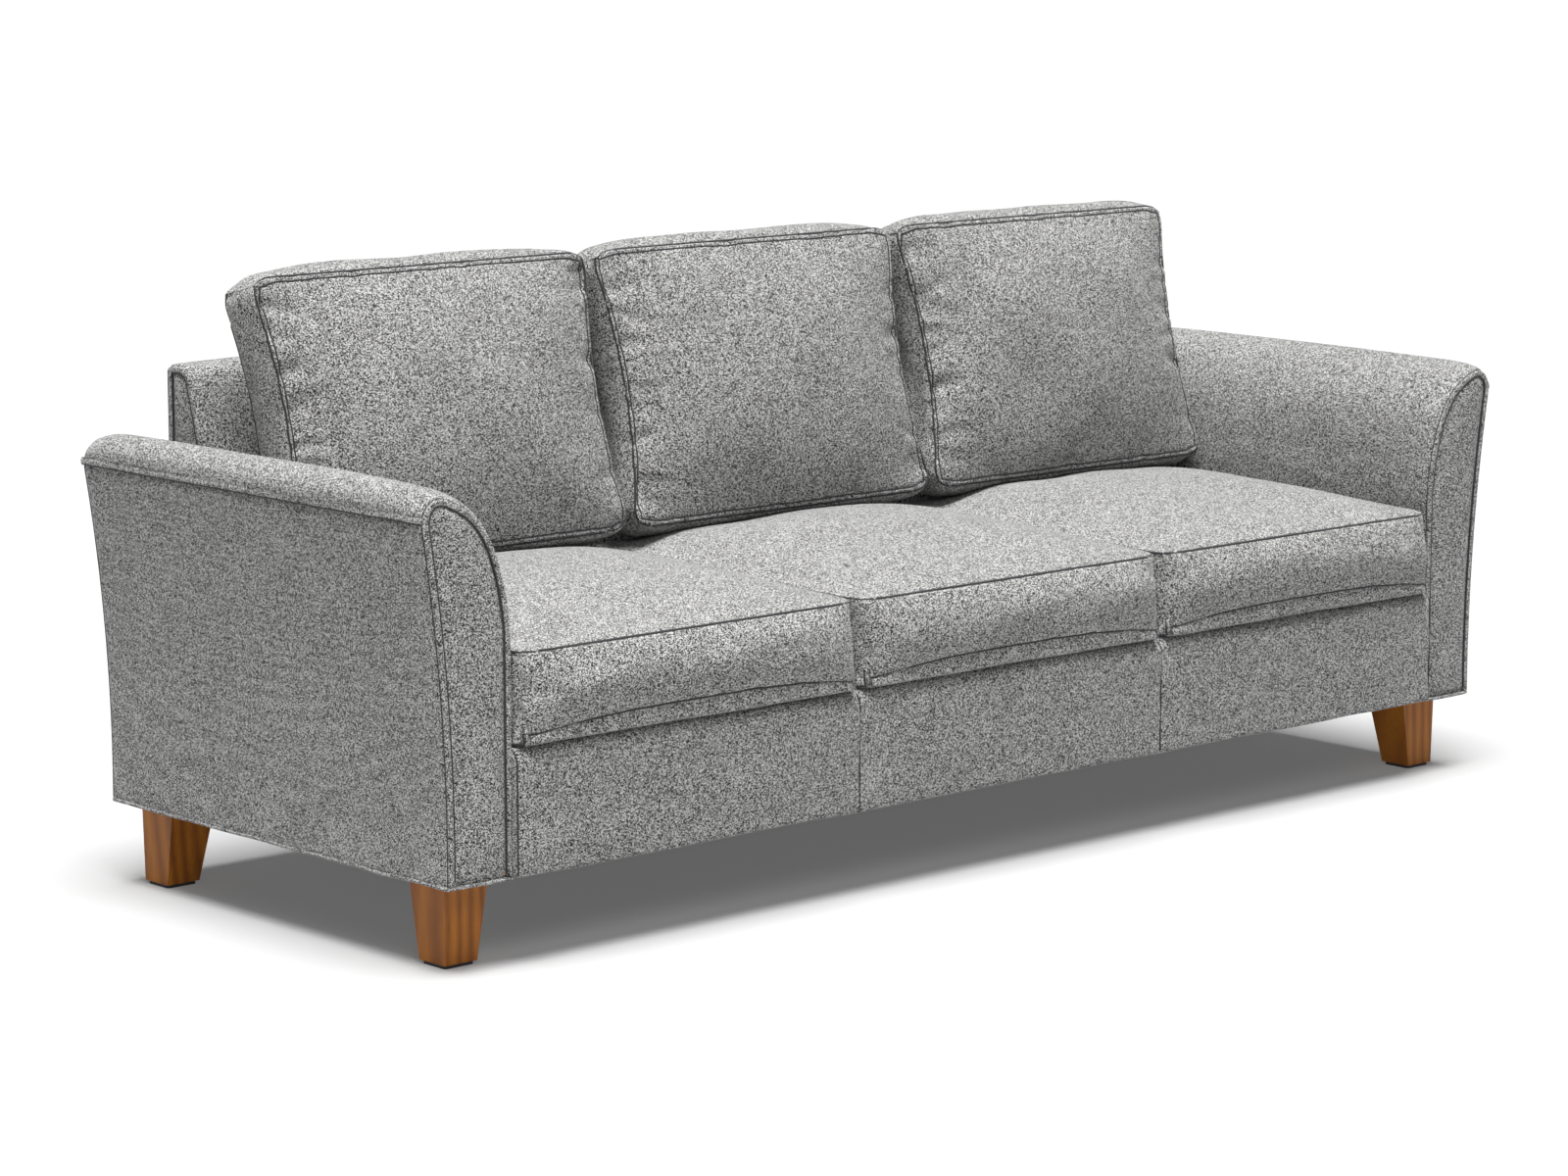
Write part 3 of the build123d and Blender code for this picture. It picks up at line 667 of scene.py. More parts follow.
def arm_cover(side_name, side, part):
    """The wrapped inner and top cover, or the outer side below the side seam."""
    y_rows = cover_rows(FRONT, REAR)
    inward = rounded_end(y_rows, 0.006)
    if part == "inner_cover":
        first, last = int(np.argmax(SECTION[:, 1] > DECK_LOWEST - 0.004)), FLARE
    else:
        first, last = FLARE, len(SECTION) - 1
    span = np.linspace(0, 1, last - first + 1)
    length = OUTLINE_STEP * (last - first)
    uneven = ripple(RNG_SEED + side + first, 0.0004)
    rows = []
    for k, y in enumerate(y_rows):
        v = (y - FRONT) / (REAR - FRONT)
        swell = PADDING * math.sin(math.pi * min(max(v, 0), 1)) ** 0.5
        if part == "inner_cover":
            crest = np.clip((span - 0.5) / 0.3, 0, 1)
            rise = swell * (0.4 + np.sin(math.pi * np.clip((span - 0.35) / 0.75, 0, 1)))
            front_fade = 1 - math.exp(-(y - FRONT) / 0.018)
            seam_fade = 1 - np.exp(-length * (1 - span) / 0.020)
            rear_fade = (1 - smooth_ease((v - 0.93) / 0.07)) ** 0.5
            rise += ARM_CREST * crest * front_fade * seam_fade * rear_fade
            rise += edge_pinch(length * (1 - span), 0.006, 0.0016)
        else:
            rise = swell * (0.5 + 0.5 * np.sin(math.pi * span))
            rise += edge_pinch(length * span, 0.007, 0.0040)
            rise += edge_pinch(length * (1 - span), 0.008, 0.002)
        rise += uneven(span, v) - inward[k]
        line = SECTION[first:last + 1] + SECTION_OUT[first:last + 1] * rise[:, None]
        rows.append(np.stack([line[:, 0], np.full(len(line), y), line[:, 1]], 1))
    node = f"{side_name}_arm_{part}"
    cover(f"{node}_cloth", mirrored(rows, side), [node], flip=side < 0)


def side_seam(side_name, side):
    """Lapped band along the arm's widest line; painted shade darkens its seam just below and its
    upper edge.
    """
    y = np.linspace(FRONT + 0.001, REAR + 0.002, 90)
    normal = SECTION_OUT[FLARE]
    share = np.clip((y - FRONT) / (REAR - FRONT), 0, 1)
    rise = 0.0028 + 0.0020 * np.sin(math.pi * share) ** 0.5
    x = SECTION[FLARE, 0] + normal[0] * rise - 0.0008
    z = SECTION[FLARE, 1] + normal[1] * rise
    path = mirrored(np.stack([x, y, z], 1), side)
    normals = same_normal(path, (side, 0.0, 0.12))
    normals /= np.linalg.norm(normals, axis=1, keepdims=True)
    half = np.array([0, 0, 0.0046])
    attach(band(f"{side_name}_arm_side_band", path + half, normals, 0.0080))
    # The seam below the band and the line over it are dark tubes of painted shade.
    attach(painted_shade_line(f"{side_name}_arm_side_seam", path, normals, radius=0.0014))
    attach(painted_shade_line(f"{side_name}_arm_side_stitch", path + 2 * half, normals, radius=0.0006))


REAR_HEM_LIFT = 0.0032             # the hem sits higher round the rear, over the board's edge


def arm_hem(side_name, side):
    """Rolled lower edge of the arm, from the rail round the front, along the side and the rear."""
    inner, outer = FACING_LOW[0] + 0.001, SECTION[-1, 0]
    corner = 0.005
    turn = np.linspace(-math.pi / 2, 0, 7)
    front = [(x, FRONT) for x in np.linspace(inner, outer - 2 * corner, 14)]
    bend = [(outer - corner + corner * math.cos(a), FRONT + corner + corner * math.sin(a))
            for a in turn]
    run = [(outer, y) for y in np.linspace(FRONT + 3 * corner, REAR - 3 * corner, 90)]
    rear_bend = [(outer - corner + corner * math.cos(a), REAR - corner - corner * math.sin(a))
                 for a in turn[::-1]]
    rear = [(x, REAR + 0.0012) for x in np.linspace(outer - 2 * corner, inner, 14)]
    path = np.array([(x, y, FOOT + 0.0005) for x, y in front + bend + run + rear_bend + rear])
    path[:, 2] += wander(len(path), RNG_SEED + 40 + side, 0.0005, 8)
    path[-len(rear):, 2] += REAR_HEM_LIFT
    attach(strip(f"{side_name}_arm_hem", mirrored(path, side), same_normal(path, (0, 0, 1)),
                 circle(HEM, 10), CLOTH))


def upright_place(side, plane, out):
    """Puts outline points in the plane y = plane, a height away from it along out (+1 or -1)."""
    def place(points, height):
        y = np.full(len(points), plane) + out * height
        return np.stack([side * points[:, 0], y, points[:, 1]], 1)
    return place


def arms():
    for side_name, side in (("left", -1), ("right", 1)):
        arm_cover(side_name, side, "inner_cover")
        arm_cover(side_name, side, "outer_cover")
        facing = f"{side_name}_arm_facing"
        welt = banded_panel(facing, SECTION, SECTION_OUT, upright_place(side, FRONT, -1),
                            stands_for=[facing, f"{side_name}_arm_padding"], turned=side < 0)
        banded_panel(f"{side_name}_arm_rear", SECTION, SECTION_OUT, upright_place(side, REAR, 1),
                     puff=0.003, turned=side > 0)
        side_seam(side_name, side)
        arm_hem(side_name, side)
    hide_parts("arm_welts")


# ---- Fixed back ------------------------------------------------------------------------------
def back_shell():
    """Cloth over the front and top of the fixed back."""
    stop = int(np.argmax(BACK[:, 0] + 4 * BACK[:, 1])) + 3
    x_rows = cover_rows(-BACK_HALF, BACK_HALF)
    inward = rounded_end(x_rows, 0.005)
    uneven = ripple(RNG_SEED + 60, 0.0007)
    span = np.linspace(0, 1, stop)
    rows = []
    for k, x in enumerate(x_rows):
        v = (x + BACK_HALF) / (2 * BACK_HALF)
        rise = 0.003 * math.sin(math.pi * v) ** 0.4 + uneven(span, v) - inward[k]
        line = BACK[:stop] + BACK_OUT[:stop] * rise[:, None]
        rows.append(at_x(x, line))
    cover("back_front_cloth", rows, ["back_front_cover", "back_padding"])


def back_ends():
    """The banded panels at the two ends of the fixed back."""
    for side_name, side in (("left", -1), ("right", 1)):
        def place(points, height, side=side):
            return np.stack([side * (np.full(len(points), BACK_HALF) + height), points[:, 0],
                             points[:, 1]], 1)

        edge = banded_panel(f"back_end_{side_name}", BACK, BACK_OUT, place, puff=0.004,
                            turned=side > 0)
    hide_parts("back_end_covers")


def back_rear():
    """The padded panel across the outside back, with a dark line of painted shade for the seam round
    it.
    """
    high = REAR_HIGH[2]
    columns, rows = 150, 60
    x, z = np.meshgrid(np.linspace(-BACK_HALF, BACK_HALF, columns), np.linspace(FOOT, high, rows))
    u = (x + BACK_HALF) / (2 * BACK_HALF)
    v = (z - FOOT) / (high - FOOT)
    from_edge = np.minimum(np.minimum(x + BACK_HALF, BACK_HALF - x), np.minimum(z - FOOT, high - z))
    uneven = ripple(RNG_SEED + 70, 0.0008)(u, v)
    lift = PADDING * (1 - np.exp(-from_edge / 0.02)) + uneven * (1 - np.exp(-from_edge / 0.05))
    cover("back_rear_cloth", np.stack([x, REAR - 0.001 + lift, z], -1), ["back_rear_cover"],
          flip=True)
    corners = [(-BACK_HALF, FOOT), (-BACK_HALF, high - 0.001), (BACK_HALF, high - 0.001),
               (BACK_HALF, FOOT)]
    path = resample([(x_end, REAR - 0.0005, z_end) for x_end, z_end in corners], 0.01)
    # The seam line is a dark tube of painted shade.
    attach(painted_shade_line("back_rear_seam", path, same_normal(path, (0.0, 1.0, 0.0))))


# ---- Front rail ------------------------------------------------------------------------------
RAIL_ROUND = 0.018                 # over its top front edge
RAIL_SEAMS = [RAIL_LOW[0], RAIL_HIGH[0]]
RAIL_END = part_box("rail_cover_right")[1][0] + 0.0012   # close against the arm


def rail_profile():
    """The rail's face and its rounded top edge as (y, z), then back under the cushions."""
    front, foot, lip = RAIL_LOW[1], RAIL_LOW[2], RAIL_HIGH[1]
    top = RAIL_HIGH[2] - 0.0006
    upright = [(front, z) for z in np.linspace(foot, top - RAIL_ROUND, 24)]
    turn = np.linspace(math.pi, math.pi / 2 + DECK_RAKE, 10)[1:]
    bend = [(front + RAIL_ROUND + RAIL_ROUND * math.cos(a),
             top - RAIL_ROUND + RAIL_ROUND * math.sin(a)) for a in turn]
    y_last, z_last = bend[-1]
    flat = [(y, z_last - (y - y_last) * math.tan(DECK_RAKE))
            for y in np.linspace(y_last, lip, 8)[1:]]
    return np.array(upright + bend + flat)


def rail_cover(name, low, high, seed):
    """One of the rail's three panels, its ends tucked in at the seams."""
    profile = rail_profile()
    outs = outward(profile)
    x_rows = cover_rows(low, high)
    uneven = ripple(seed, 0.0006)
    span = np.linspace(0, 1, len(profile))
    padded = np.sin(math.pi * np.clip(span, 0.02, 0.98)) ** 0.5
    tuck = 0.020
    rows = [at_x(low, profile - outs * tuck)]
    for x in x_rows:
        from_seam = min(x - low, high - x)
        v = (x - low) / (high - low)
        rise = PADDING * (1 - math.exp(-from_seam / 0.03)) * padded
        rise = rise - 0.0022 * math.exp(-from_seam / 0.004) + uneven(span, v)
        line = profile + outs * rise[:, None]
        rows.append(at_x(x, line))
    rows.append(at_x(high, profile - outs * tuck))
    cover(f"rail_{name}_cloth", rows, [f"rail_cover_{name}"])


def rail_seam(name, x, lapped):
    """A seam down the rail: a lapped band between two dark lines of painted shade, or one such line
    where it meets an arm.
    """
    profile = rail_profile()
    shown = profile[:, 1] < profile[:, 1].max() - 0.003
    line = resample((profile + outward(profile) * 0.0006)[shown], 0.006)
    across = directions(line)
    up = np.stack([np.zeros(len(line)), -across[:, 1], across[:, 0]], 1)
    path = at_x(x, line)
    # Each line is a dark tube of painted shade in the seam's crease.
    if lapped:
        side = np.array([0.0042, 0, 0])
        attach(band(f"rail_band_{name}", path + side, up, 0.0072))
        attach(painted_shade_line(f"rail_stitch_{name}", path + 2 * side, up, radius=0.0007))
    attach(painted_shade_line(f"rail_seam_{name}", path, up, radius=0.0013))


def front_rail():
    """Three panels, two lapped seams, the painted-shade lines against the arms and the hem below."""
    edges = [-RAIL_END, *RAIL_SEAMS, RAIL_END]
    for k, name in enumerate(("left", "middle", "right")):
        rail_cover(name, edges[k], edges[k + 1], RNG_SEED + 80 + k)
    for name, x in zip(("left", "right"), RAIL_SEAMS):
        rail_seam(name, x, lapped=True)
    for name, x in (("left_end", -RAIL_END), ("right_end", RAIL_END)):
        rail_seam(name, x, lapped=False)
    count = 200
    path = np.stack([np.linspace(-RAIL_END, RAIL_END, count), np.full(count, RAIL_LOW[1] + 0.001),
                     RAIL_LOW[2] + 0.0004 + wander(count, RNG_SEED + 90, 0.0007, 8)], 1)
    attach(strip("rail_hem", path, same_normal(path, (0, 0, 1)), circle(0.0024, 10), CLOTH),
           stands_for=["rail_padding"])


# ---- Cushions --------------------------------------------------------------------------------
SIM_STEP = 0.0145                  # spacing of the simulated cloth
FINE_STEP = 0.0062                 # spacing of the finished cloth
SEAM_ROWS = [0.0, 0.0011, 0.0028, 0.0052, 0.0078, 0.0090, 0.0125]
BAND_LINE = 4                      # the row of a lapped band's second line
SIM_FRAMES = 20
SIM_CLOTH = {
    "quality": 5,
    "use_pressure": True,
    "uniform_pressure_force": 4.0,
    "vertex_group_mass": "held",
    "tension_stiffness": 18,
    "compression_stiffness": 18,
    "bending_stiffness": 1.2,
}


class Cushion:
    """A boxed cushion: a crowned face, a rear panel and borders between their two seams.

    Its body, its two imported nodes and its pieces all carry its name.
    """

    def __init__(self, name, corners, settings):
        low, high = (np.array(corner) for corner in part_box(f"{name}_cover"))
        self.name = name
        self.middle = 0.5 * (low[0] + high[0])
        self.half = 0.5 * (high[0] - low[0])
        self.face_ends, self.rear_ends = corners(f"{name}_cover")
        self.settings = settings
        self.seed = RNG_SEED + 100 + sum(map(ord, name))

    def sizes(self):
        """Width, depth of the face and height of the front border."""
        depth = np.linalg.norm(self.face_ends[1] - self.face_ends[0])
        border = np.linalg.norm(self.rear_ends[0] - self.face_ends[0])
        return 2 * self.half, depth, border

    def panel_point(self, s, t, ends, crown, away):
        """Place on a panel: s across and t along, both -1..1, lifted by the crown."""
        depth = np.linalg.norm(ends[1] - ends[0])
        half_depth = depth / 2
        ring = np.maximum(np.maximum(np.abs(s), np.abs(t)), 1e-6)
        x, y = s / ring * self.half, t / ring * half_depth
        radius = self.settings["corner"]
        inner_x = np.clip(x, radius - self.half, self.half - radius)
        inner_y = np.clip(y, radius - half_depth, half_depth - radius)
        off = np.hypot(x - inner_x, y - inner_y)
        pull = np.where(off > 1e-9, np.minimum(radius / np.maximum(off, 1e-9), 1) - 1, 0)
        shift = ring ** 8
        x_place = s * self.half + (x - inner_x) * pull * shift
        y_place = t * half_depth + (y - inner_y) * pull * shift
        waist = self.settings["waist"] * (1 - t ** 2) * np.abs(s) ** 3 * np.sign(s)
        share = 0.5 + 0.5 * y_place / half_depth
        yz = ends[0] + (ends[1] - ends[0]) * share[..., None]
        full_s, full_t = self.settings["fullness"]
        lift = crown * (1 - np.abs(s) ** full_s) * (1 - np.abs(t) ** full_t)
        return np.concatenate([(self.middle + x_place - waist)[..., None],
                               yz + away * lift[..., None]], -1)

    def patches(self):
        """Six grids of points: face, rear panel and four borders."""
        n_s, n_t, n_h = (int(round(size / SIM_STEP)) + 1 for size in self.sizes())
        s, t = np.linspace(-1, 1, n_s), np.linspace(-1, 1, n_t)
        h = np.linspace(0, 1, n_h)
        along = self.face_ends[1] - self.face_ends[0]
        along /= np.linalg.norm(along)
        away = np.array([-along[1], along[0]])
        if np.dot(away, self.face_ends[0] - self.rear_ends[0]) < 0:
            away = -away
        grid_t, grid_s = np.meshgrid(t, s, indexing="ij")
        crown, rear_crown = self.settings["crowns"]
        made = {
            "face": self.panel_point(grid_s, grid_t, self.face_ends, crown, away),
            "rear": self.panel_point(grid_s, grid_t, self.rear_ends, rear_crown, -away),
        }
        low, high, side = self.settings["bulges"]
        borders = (
            ("low", (0, slice(None)), low, (0, *-along), s),
            ("high", (-1, slice(None)), high, (0, *along), s),
            ("left", (slice(None), 0), side, (-1.0, 0, 0), t),
            ("right", (slice(None), -1), side, (1.0, 0, 0), t),
        )
        for name, edge, bulge, out, run in borders:
            top, bottom = made["face"][edge], made["rear"][edge]
            across = (1 - np.abs(run) ** 6)[None, :, None]
            swell = bulge * np.sin(math.pi * h)[:, None, None] * across
            made[name] = top + (bottom - top) * h[:, None, None] + np.array(out) * swell
        return made


PATCH_ORDER = ("face", "rear", "low", "high", "left", "right")


def weld(patches):
    """One vertex list for all patches, and each patch's indices into it."""
    flat = np.concatenate([patches[name].reshape(-1, 3) for name in PATCH_ORDER])
    _, first, inverse = np.unique(np.round(flat, 5), axis=0, return_index=True, return_inverse=True)
    inverse = inverse.reshape(-1)
    index, start = {}, 0
    for name in PATCH_ORDER:
        shape = patches[name].shape[:2]
        count = shape[0] * shape[1]
        index[name] = inverse[start:start + count].reshape(shape)
        start += count
    return flat[first], index


def patch_faces(index):
    """Faces of all patches; a quad whose points were welded becomes a triangle."""
    faces = []
    for name in PATCH_ORDER:
        ids = index[name]
        a, b, c, d = ids[:-1, :-1], ids[:-1, 1:], ids[1:, 1:], ids[1:, :-1]
        for quad in np.stack([a, b, c, d], -1).reshape(-1, 4):
            corners = list(dict.fromkeys(int(k) for k in quad))
            if len(corners) > 2:
                faces.append(corners)
    return faces


def cushion_mesh(name, vertices, index):
    piece = new_object(name, vertices, patch_faces(index), CLOTH)
    tidy(piece)
    return piece


def cubic(values, places):
    """Rows read at fractional places, on a smooth curve through the evenly spaced ones."""
    ends = [2 * values[:1] - values[1:2], values, 2 * values[-1:] - values[-2:-1]]
    padded = np.concatenate(ends)
    i = np.clip(places.astype(int), 0, len(values) - 2)
    t = (places - i).reshape(-1, *[1] * (values.ndim - 1))
    a, b, c, d = (padded[i + k] for k in range(4))
    return 0.5 * (2 * b + (c - a) * t + (2 * a - 5 * b + 4 * c - d) * t ** 2
                  + (3 * b - a - 3 * c + d) * t ** 3)


def fine_places(length):
    """Distances along a panel: close rows beside the seam at each end, even steps between."""
    edge = np.array(SEAM_ROWS)
    steps = max(int(round((length - 2 * edge[-1]) / FINE_STEP)), 2)
    middle = np.linspace(edge[-1], length - edge[-1], steps + 1)[1:-1]
    return np.concatenate([edge, middle, length - edge[::-1]])


def press_from_inside(piece, held):
    """Turns a piece into cloth under inner pressure, with some of its points held."""
    group = piece.vertex_groups.new(name="held")
    group.add(sorted(held), 1.0, "REPLACE")
    cloth = piece.modifiers.new("cloth", "CLOTH")
    for key, value in SIM_CLOTH.items():
        setattr(cloth.settings, key, value)
    cloth.settings.effector_weights.gravity = 0
    cloth.point_cache.frame_start = 1
    cloth.point_cache.frame_end = SIM_FRAMES


def inflate(cushions):
    """Blows the cushions up; their seams and resting sides are held."""
    pieces = []
    for cushion in cushions:
        vertices, index = weld(cushion.patches())
        piece = cushion_mesh(f"{cushion.name}_start", vertices, index)
        face = index["face"]
        held = set(index["rear"].ravel().tolist())
        for edge in (face[0], face[-1], face[:, 0], face[:, -1]):
            held.update(edge.tolist())
        press_from_inside(piece, held)
        pieces.append((cushion, piece, vertices, index))
    shapes = []
    for step in range(1, SIM_FRAMES + 1):
        bpy.context.scene.frame_set(step)
    graph = bpy.context.evaluated_depsgraph_get()
    for cushion, piece, vertices, index in pieces:
        moved = vertices
        mesh = piece.evaluated_get(graph).to_mesh()
        moved = np.array([v.co[:] for v in mesh.vertices])
        shift = moved - vertices
        length = np.linalg.norm(shift, axis=1, keepdims=True)
        cap = cushion.settings["cap"]
        shift *= cap * np.tanh(length / cap) / np.maximum(length, 1e-9)
        shapes.append((cushion, vertices + shift, index))
    for _, piece, _, _ in pieces:
        bpy.data.objects.remove(piece, do_unlink=True)
    bpy.context.scene.frame_set(1)
    return shapes


def pucker_field(seed, length, count, reach, size):
    """Short soft creases that run away from a seam, for a point's place and distance."""
    draw = np.random.default_rng(seed)
    creases = [(draw.uniform(0, length), draw.uniform(0.006, 0.013), draw.uniform(0.5, 1.3) * reach,
                draw.uniform(0.4, 1.0) * size, draw.uniform(-0.35, 0.35)) for _ in range(count)]

    def height(place, away):
        total = np.zeros(np.broadcast(place, away).shape)
        for centre, width, fade, depth, slant in creases:
            off = (place - centre - slant * away) / width
            from_seam = 1 - np.exp(-away / 0.004)
            total -= depth * np.exp(-off ** 2) * np.exp(-(away / fade) ** 2) * from_seam
        return total
    return height


def surface_lift(cushion, name, u, v, length_u, length_v):
    """How far a finished panel stands off its simulated shape: lumps, seam dips and creases."""
    settings = cushion.settings
    from_seam_v = np.minimum(v, length_v - v)
    from_seam_u = np.minimum(u, length_u - u)
    if name in ("face", "rear"):
        near = np.minimum(from_seam_u, from_seam_v)
    else:
        near = from_seam_v
    lift = ripple(cushion.seed + len(name), settings["lumps"])(u / length_u, v / length_v)
    lift = lift * (1 - np.exp(-near / 0.03))
    lift -= 0.0026 * np.exp(-(near / 0.0022) ** 2)
    if settings["lapped"] and name == "face":
        lap = SEAM_ROWS[BAND_LINE]
        inside = np.clip(near / lap, 0, 1)
        lift += 0.0013 * np.sin(math.pi * inside) - 0.0012 * np.exp(-((near - lap) / 0.0011) ** 2)
    if name != "rear":
        creases = settings["creases"] if name == "face" else settings["border_creases"]
        sides = ((v, u, length_v), (v, length_u - u, length_v),
                 (u, v, length_u), (u, length_v - v, length_u))
        for k, (place, away, length) in enumerate(sides):
            count, reach, size = creases[k]
            if count:
                seed = cushion.seed + 10 * k + len(name)
                lift += pucker_field(seed, length, count, reach, size)(place, away)
    return lift


ABOVE_SEATS = 0.60                 # a height over every seat cushion
TOUCH_BELOW = 0.54                 # and the one under which a back cushion can touch them
RESTING_GAP = 0.0012


def rest_on(points, supports):
    """Lifts points that have sunk into the pieces they rest on to just above their surface."""
    trees = [BVHTree.FromPolygons([v.co for v in piece.data.vertices],
                                  [p.vertices for p in piece.data.polygons]) for piece in supports]
    down = Vector((0, 0, -1))
    for k in np.flatnonzero(points[:, 2] < TOUCH_BELOW):
        start = Vector((points[k, 0], points[k, 1], ABOVE_SEATS))
        for tree in trees:
            hit = tree.ray_cast(start, down)[0]
            if hit is not None:
                points[k, 2] = max(points[k, 2], hit.z + RESTING_GAP)
    return points


def finer(coarse, u, v):
    """A grid of points read at shares u across and v along it."""
    rows = cubic(coarse, v * (coarse.shape[0] - 1))
    return cubic(rows.transpose(1, 0, 2), u * (coarse.shape[1] - 1)).transpose(1, 0, 2)


def seam_ring(grid, k):
    """The entries of a grid's k-th ring from its edge, in order."""
    inner = grid[k:grid.shape[0] - k, k:grid.shape[1] - k]
    return np.concatenate([inner[0, :-1], inner[:-1, -1], inner[-1, 1:][::-1], inner[1:, 0][::-1]])


def finish_cushion(cushion, vertices, index, supports):
    """Fine cloth over a simulated shape, with its seams, creases and dark lines of painted shade
    along the seams.
    """
    width, depth, border = cushion.sizes()
    sizes = {"face": (width, depth), "rear": (width, depth), "low": (width, border),
             "high": (width, border), "left": (depth, border), "right": (depth, border)}
    fine, lifts = {}, {}
    for name in PATCH_ORDER:
        length_u, length_v = sizes[name]
        u, v = fine_places(length_u), fine_places(length_v)
        fine[name] = finer(vertices[index[name]], u / length_u, v / length_v)
        grid_v, grid_u = np.meshgrid(v, u, indexing="ij")
        lifts[name] = surface_lift(cushion, name, grid_u, grid_v, length_u, length_v)
    points, ids = weld(fine)
    piece = cushion_mesh(f"{cushion.name}_cloth", points, ids)
    total, count = np.zeros(len(points)), np.zeros(len(points))
    for name in PATCH_ORDER:
        np.add.at(total, ids[name].ravel(), lifts[name].ravel())
        np.add.at(count, ids[name].ravel(), 1)
    normals = np.array([v.normal[:] for v in piece.data.vertices])
    points = points + normals * (total / count)[:, None]
    points = cushion.settings["limit"](cushion, points)
    points = rest_on(points, supports)
    piece.data.vertices.foreach_set("co", points.astype(np.float32).ravel())
    piece.data.update()
    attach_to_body(piece, cushion.name)
    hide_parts(f"{cushion.name}_cover", f"{cushion.name}_core")
    normals = np.array([v.normal[:] for v in piece.data.vertices])
    # The seam and stitch lines are dark tubes of painted shade in the seams' creases.
    lines = [("seam", seam_ring(ids["face"], 0), 0.0020),
             ("rear_seam", seam_ring(ids["rear"], 0), 0.0020)]
    if cushion.settings["lapped"]:
        lines.append(("stitch", seam_ring(ids["face"], BAND_LINE), 0.0014))
    for name, line, radius in lines:
        attach(painted_shade_line(f"{cushion.name}_{name}", points[line], normals[line], radius, sink=-0.0006,
                      closed=True), cushion.name)
    return piece


def extreme(points, direction):
    """The point that lies furthest along a direction."""
    return points[np.argmax(points @ np.array(direction))]


def seat_corners(node):
    """A seat cushion's upper and lower seam, each by its front and rear end as (y, z)."""
    section = end_face(node, 0, [1, 2])
    front_high = extreme(section, (-0.75, 0.66)) + (-0.013, 0.004)
    rear_high = extreme(section, (0.8, 0.6)) + (0, 0.046)
    front_low = extreme(section, (-0.75, -0.65)) + (-0.010, 0.021)
    rear_low = extreme(section, (0.7, -0.7))
    return (front_high, rear_high), (front_low, rear_low)


def back_corners(node):
    """A back cushion's front and rear seam, each by its lower and upper end as (y, z)."""
    section = end_face(node, 0, [1, 2])
    lean = BACK_CUSHION_LEAN
    along = np.array([math.sin(lean), math.cos(lean)])
    across = np.array([math.cos(lean), -math.sin(lean)])

    def pick(up, forward):
        return extreme(section, along * math.sin(up) + across * math.cos(up) * forward)

    front_low = pick(math.radians(-31), -1)
    front_high = pick(math.radians(45), -1)
    border = pick(math.radians(55), 1) - front_high
    return (front_low, front_high), (front_low + border, front_high + border)


LIP_DEPTH = 0.045                  # the under panel bulges down in front of the rail over this depth
LIP_DROP = 0.026                   # and sinks this far below the seam
LIP_PROUD = 0.008                  # and stands this far forward of it
LIP_END_DROP = 0.017               # the seam runs lower towards the cushion's corners


def keep_width(cushion, points):
    """Keeps a cushion's two sides against its neighbours."""
    reach = cushion.half + 0.0006
    points[:, 0] = np.clip(points[:, 0], cushion.middle - reach, cushion.middle + reach)


def seat_limit(cushion, points):
    """Rolls a seat cushion's front under its seam and keeps the rest on the deck."""
    front = cushion.rear_ends[0]
    under = (points[:, 2] < front[1] + 0.0005) & (points[:, 1] < front[0] + LIP_DEPTH)
    share = np.clip((points[:, 1] - front[0]) / LIP_DEPTH, 0, 1)
    roll = np.where(under, 1 - np.exp(-share / 0.10), 0)
    points[:, 1] -= np.where(under, LIP_PROUD * np.sin(math.pi * np.minimum(share / 0.4, 1)), 0)
    points[:, 2] -= LIP_DROP * roll
    across = (points[:, 0] - cushion.middle) / cushion.half
    near_seam = np.exp(-((points[:, 2] - front[1]) / 0.035) ** 2) * (points[:, 1] < front[0] + 0.01)
    points[:, 2] -= LIP_END_DROP * np.abs(across) ** 3 * near_seam * (1 - roll)
    behind_lip = points[:, 1] > RAIL_LOW[1] + RAIL_ROUND
    floor = RAIL_HIGH[2] + 0.0008 - (points[:, 1] - RAIL_LOW[1] - RAIL_ROUND) * math.tan(DECK_RAKE)
    points[:, 2] = np.where(behind_lip, np.maximum(points[:, 2], floor), points[:, 2])
    keep_width(cushion, points)
    return points


def back_limit(cushion, points):
    """Keeps a back cushion between its neighbours and in front of the fixed back."""
    keep_width(cushion, points)
    rise = BACK[:int(np.argmax(BACK[:, 1]))]
    wall = np.interp(points[:, 2], rise[:, 1], rise[:, 0]) - 0.004
    below = points[:, 2] < BACK_HIGH[2] - 0.03
    points[:, 1] = np.where(below, np.minimum(points[:, 1], wall), points[:, 1])
    return points


# Crowns of the face and the rear panel; bulges of the low, high and side borders; radius of the
# panels' corners; how far their sides draw in; how flat the crown is across and along; most that
# the pressure may move a point; lumps; double stitch line, a raised lap on the face with a second
# dark line of painted shade; fill; creases beside the four seams as (count, reach, depth), on the
# face and on the borders.
SEAT = {
    "crowns": (0.043, 0.004), "bulges": (0.019, 0.002, 0.0), "corner": 0.038, "waist": 0.0,
    "fullness": (3.4, 2.7), "cap": 0.012, "lumps": 0.0011, "lapped": False, "fill": 0.7,
    "creases": ((2, 0.05, 0.0012), (2, 0.05, 0.0012), (4, 0.03, 0.0010), (0, 0, 0)),
    "border_creases": ((2, 0.05, 0.002), (2, 0.05, 0.002), (6, 0.03, 0.0014), (8, 0.03, 0.0018)),
    "limit": seat_limit,
}
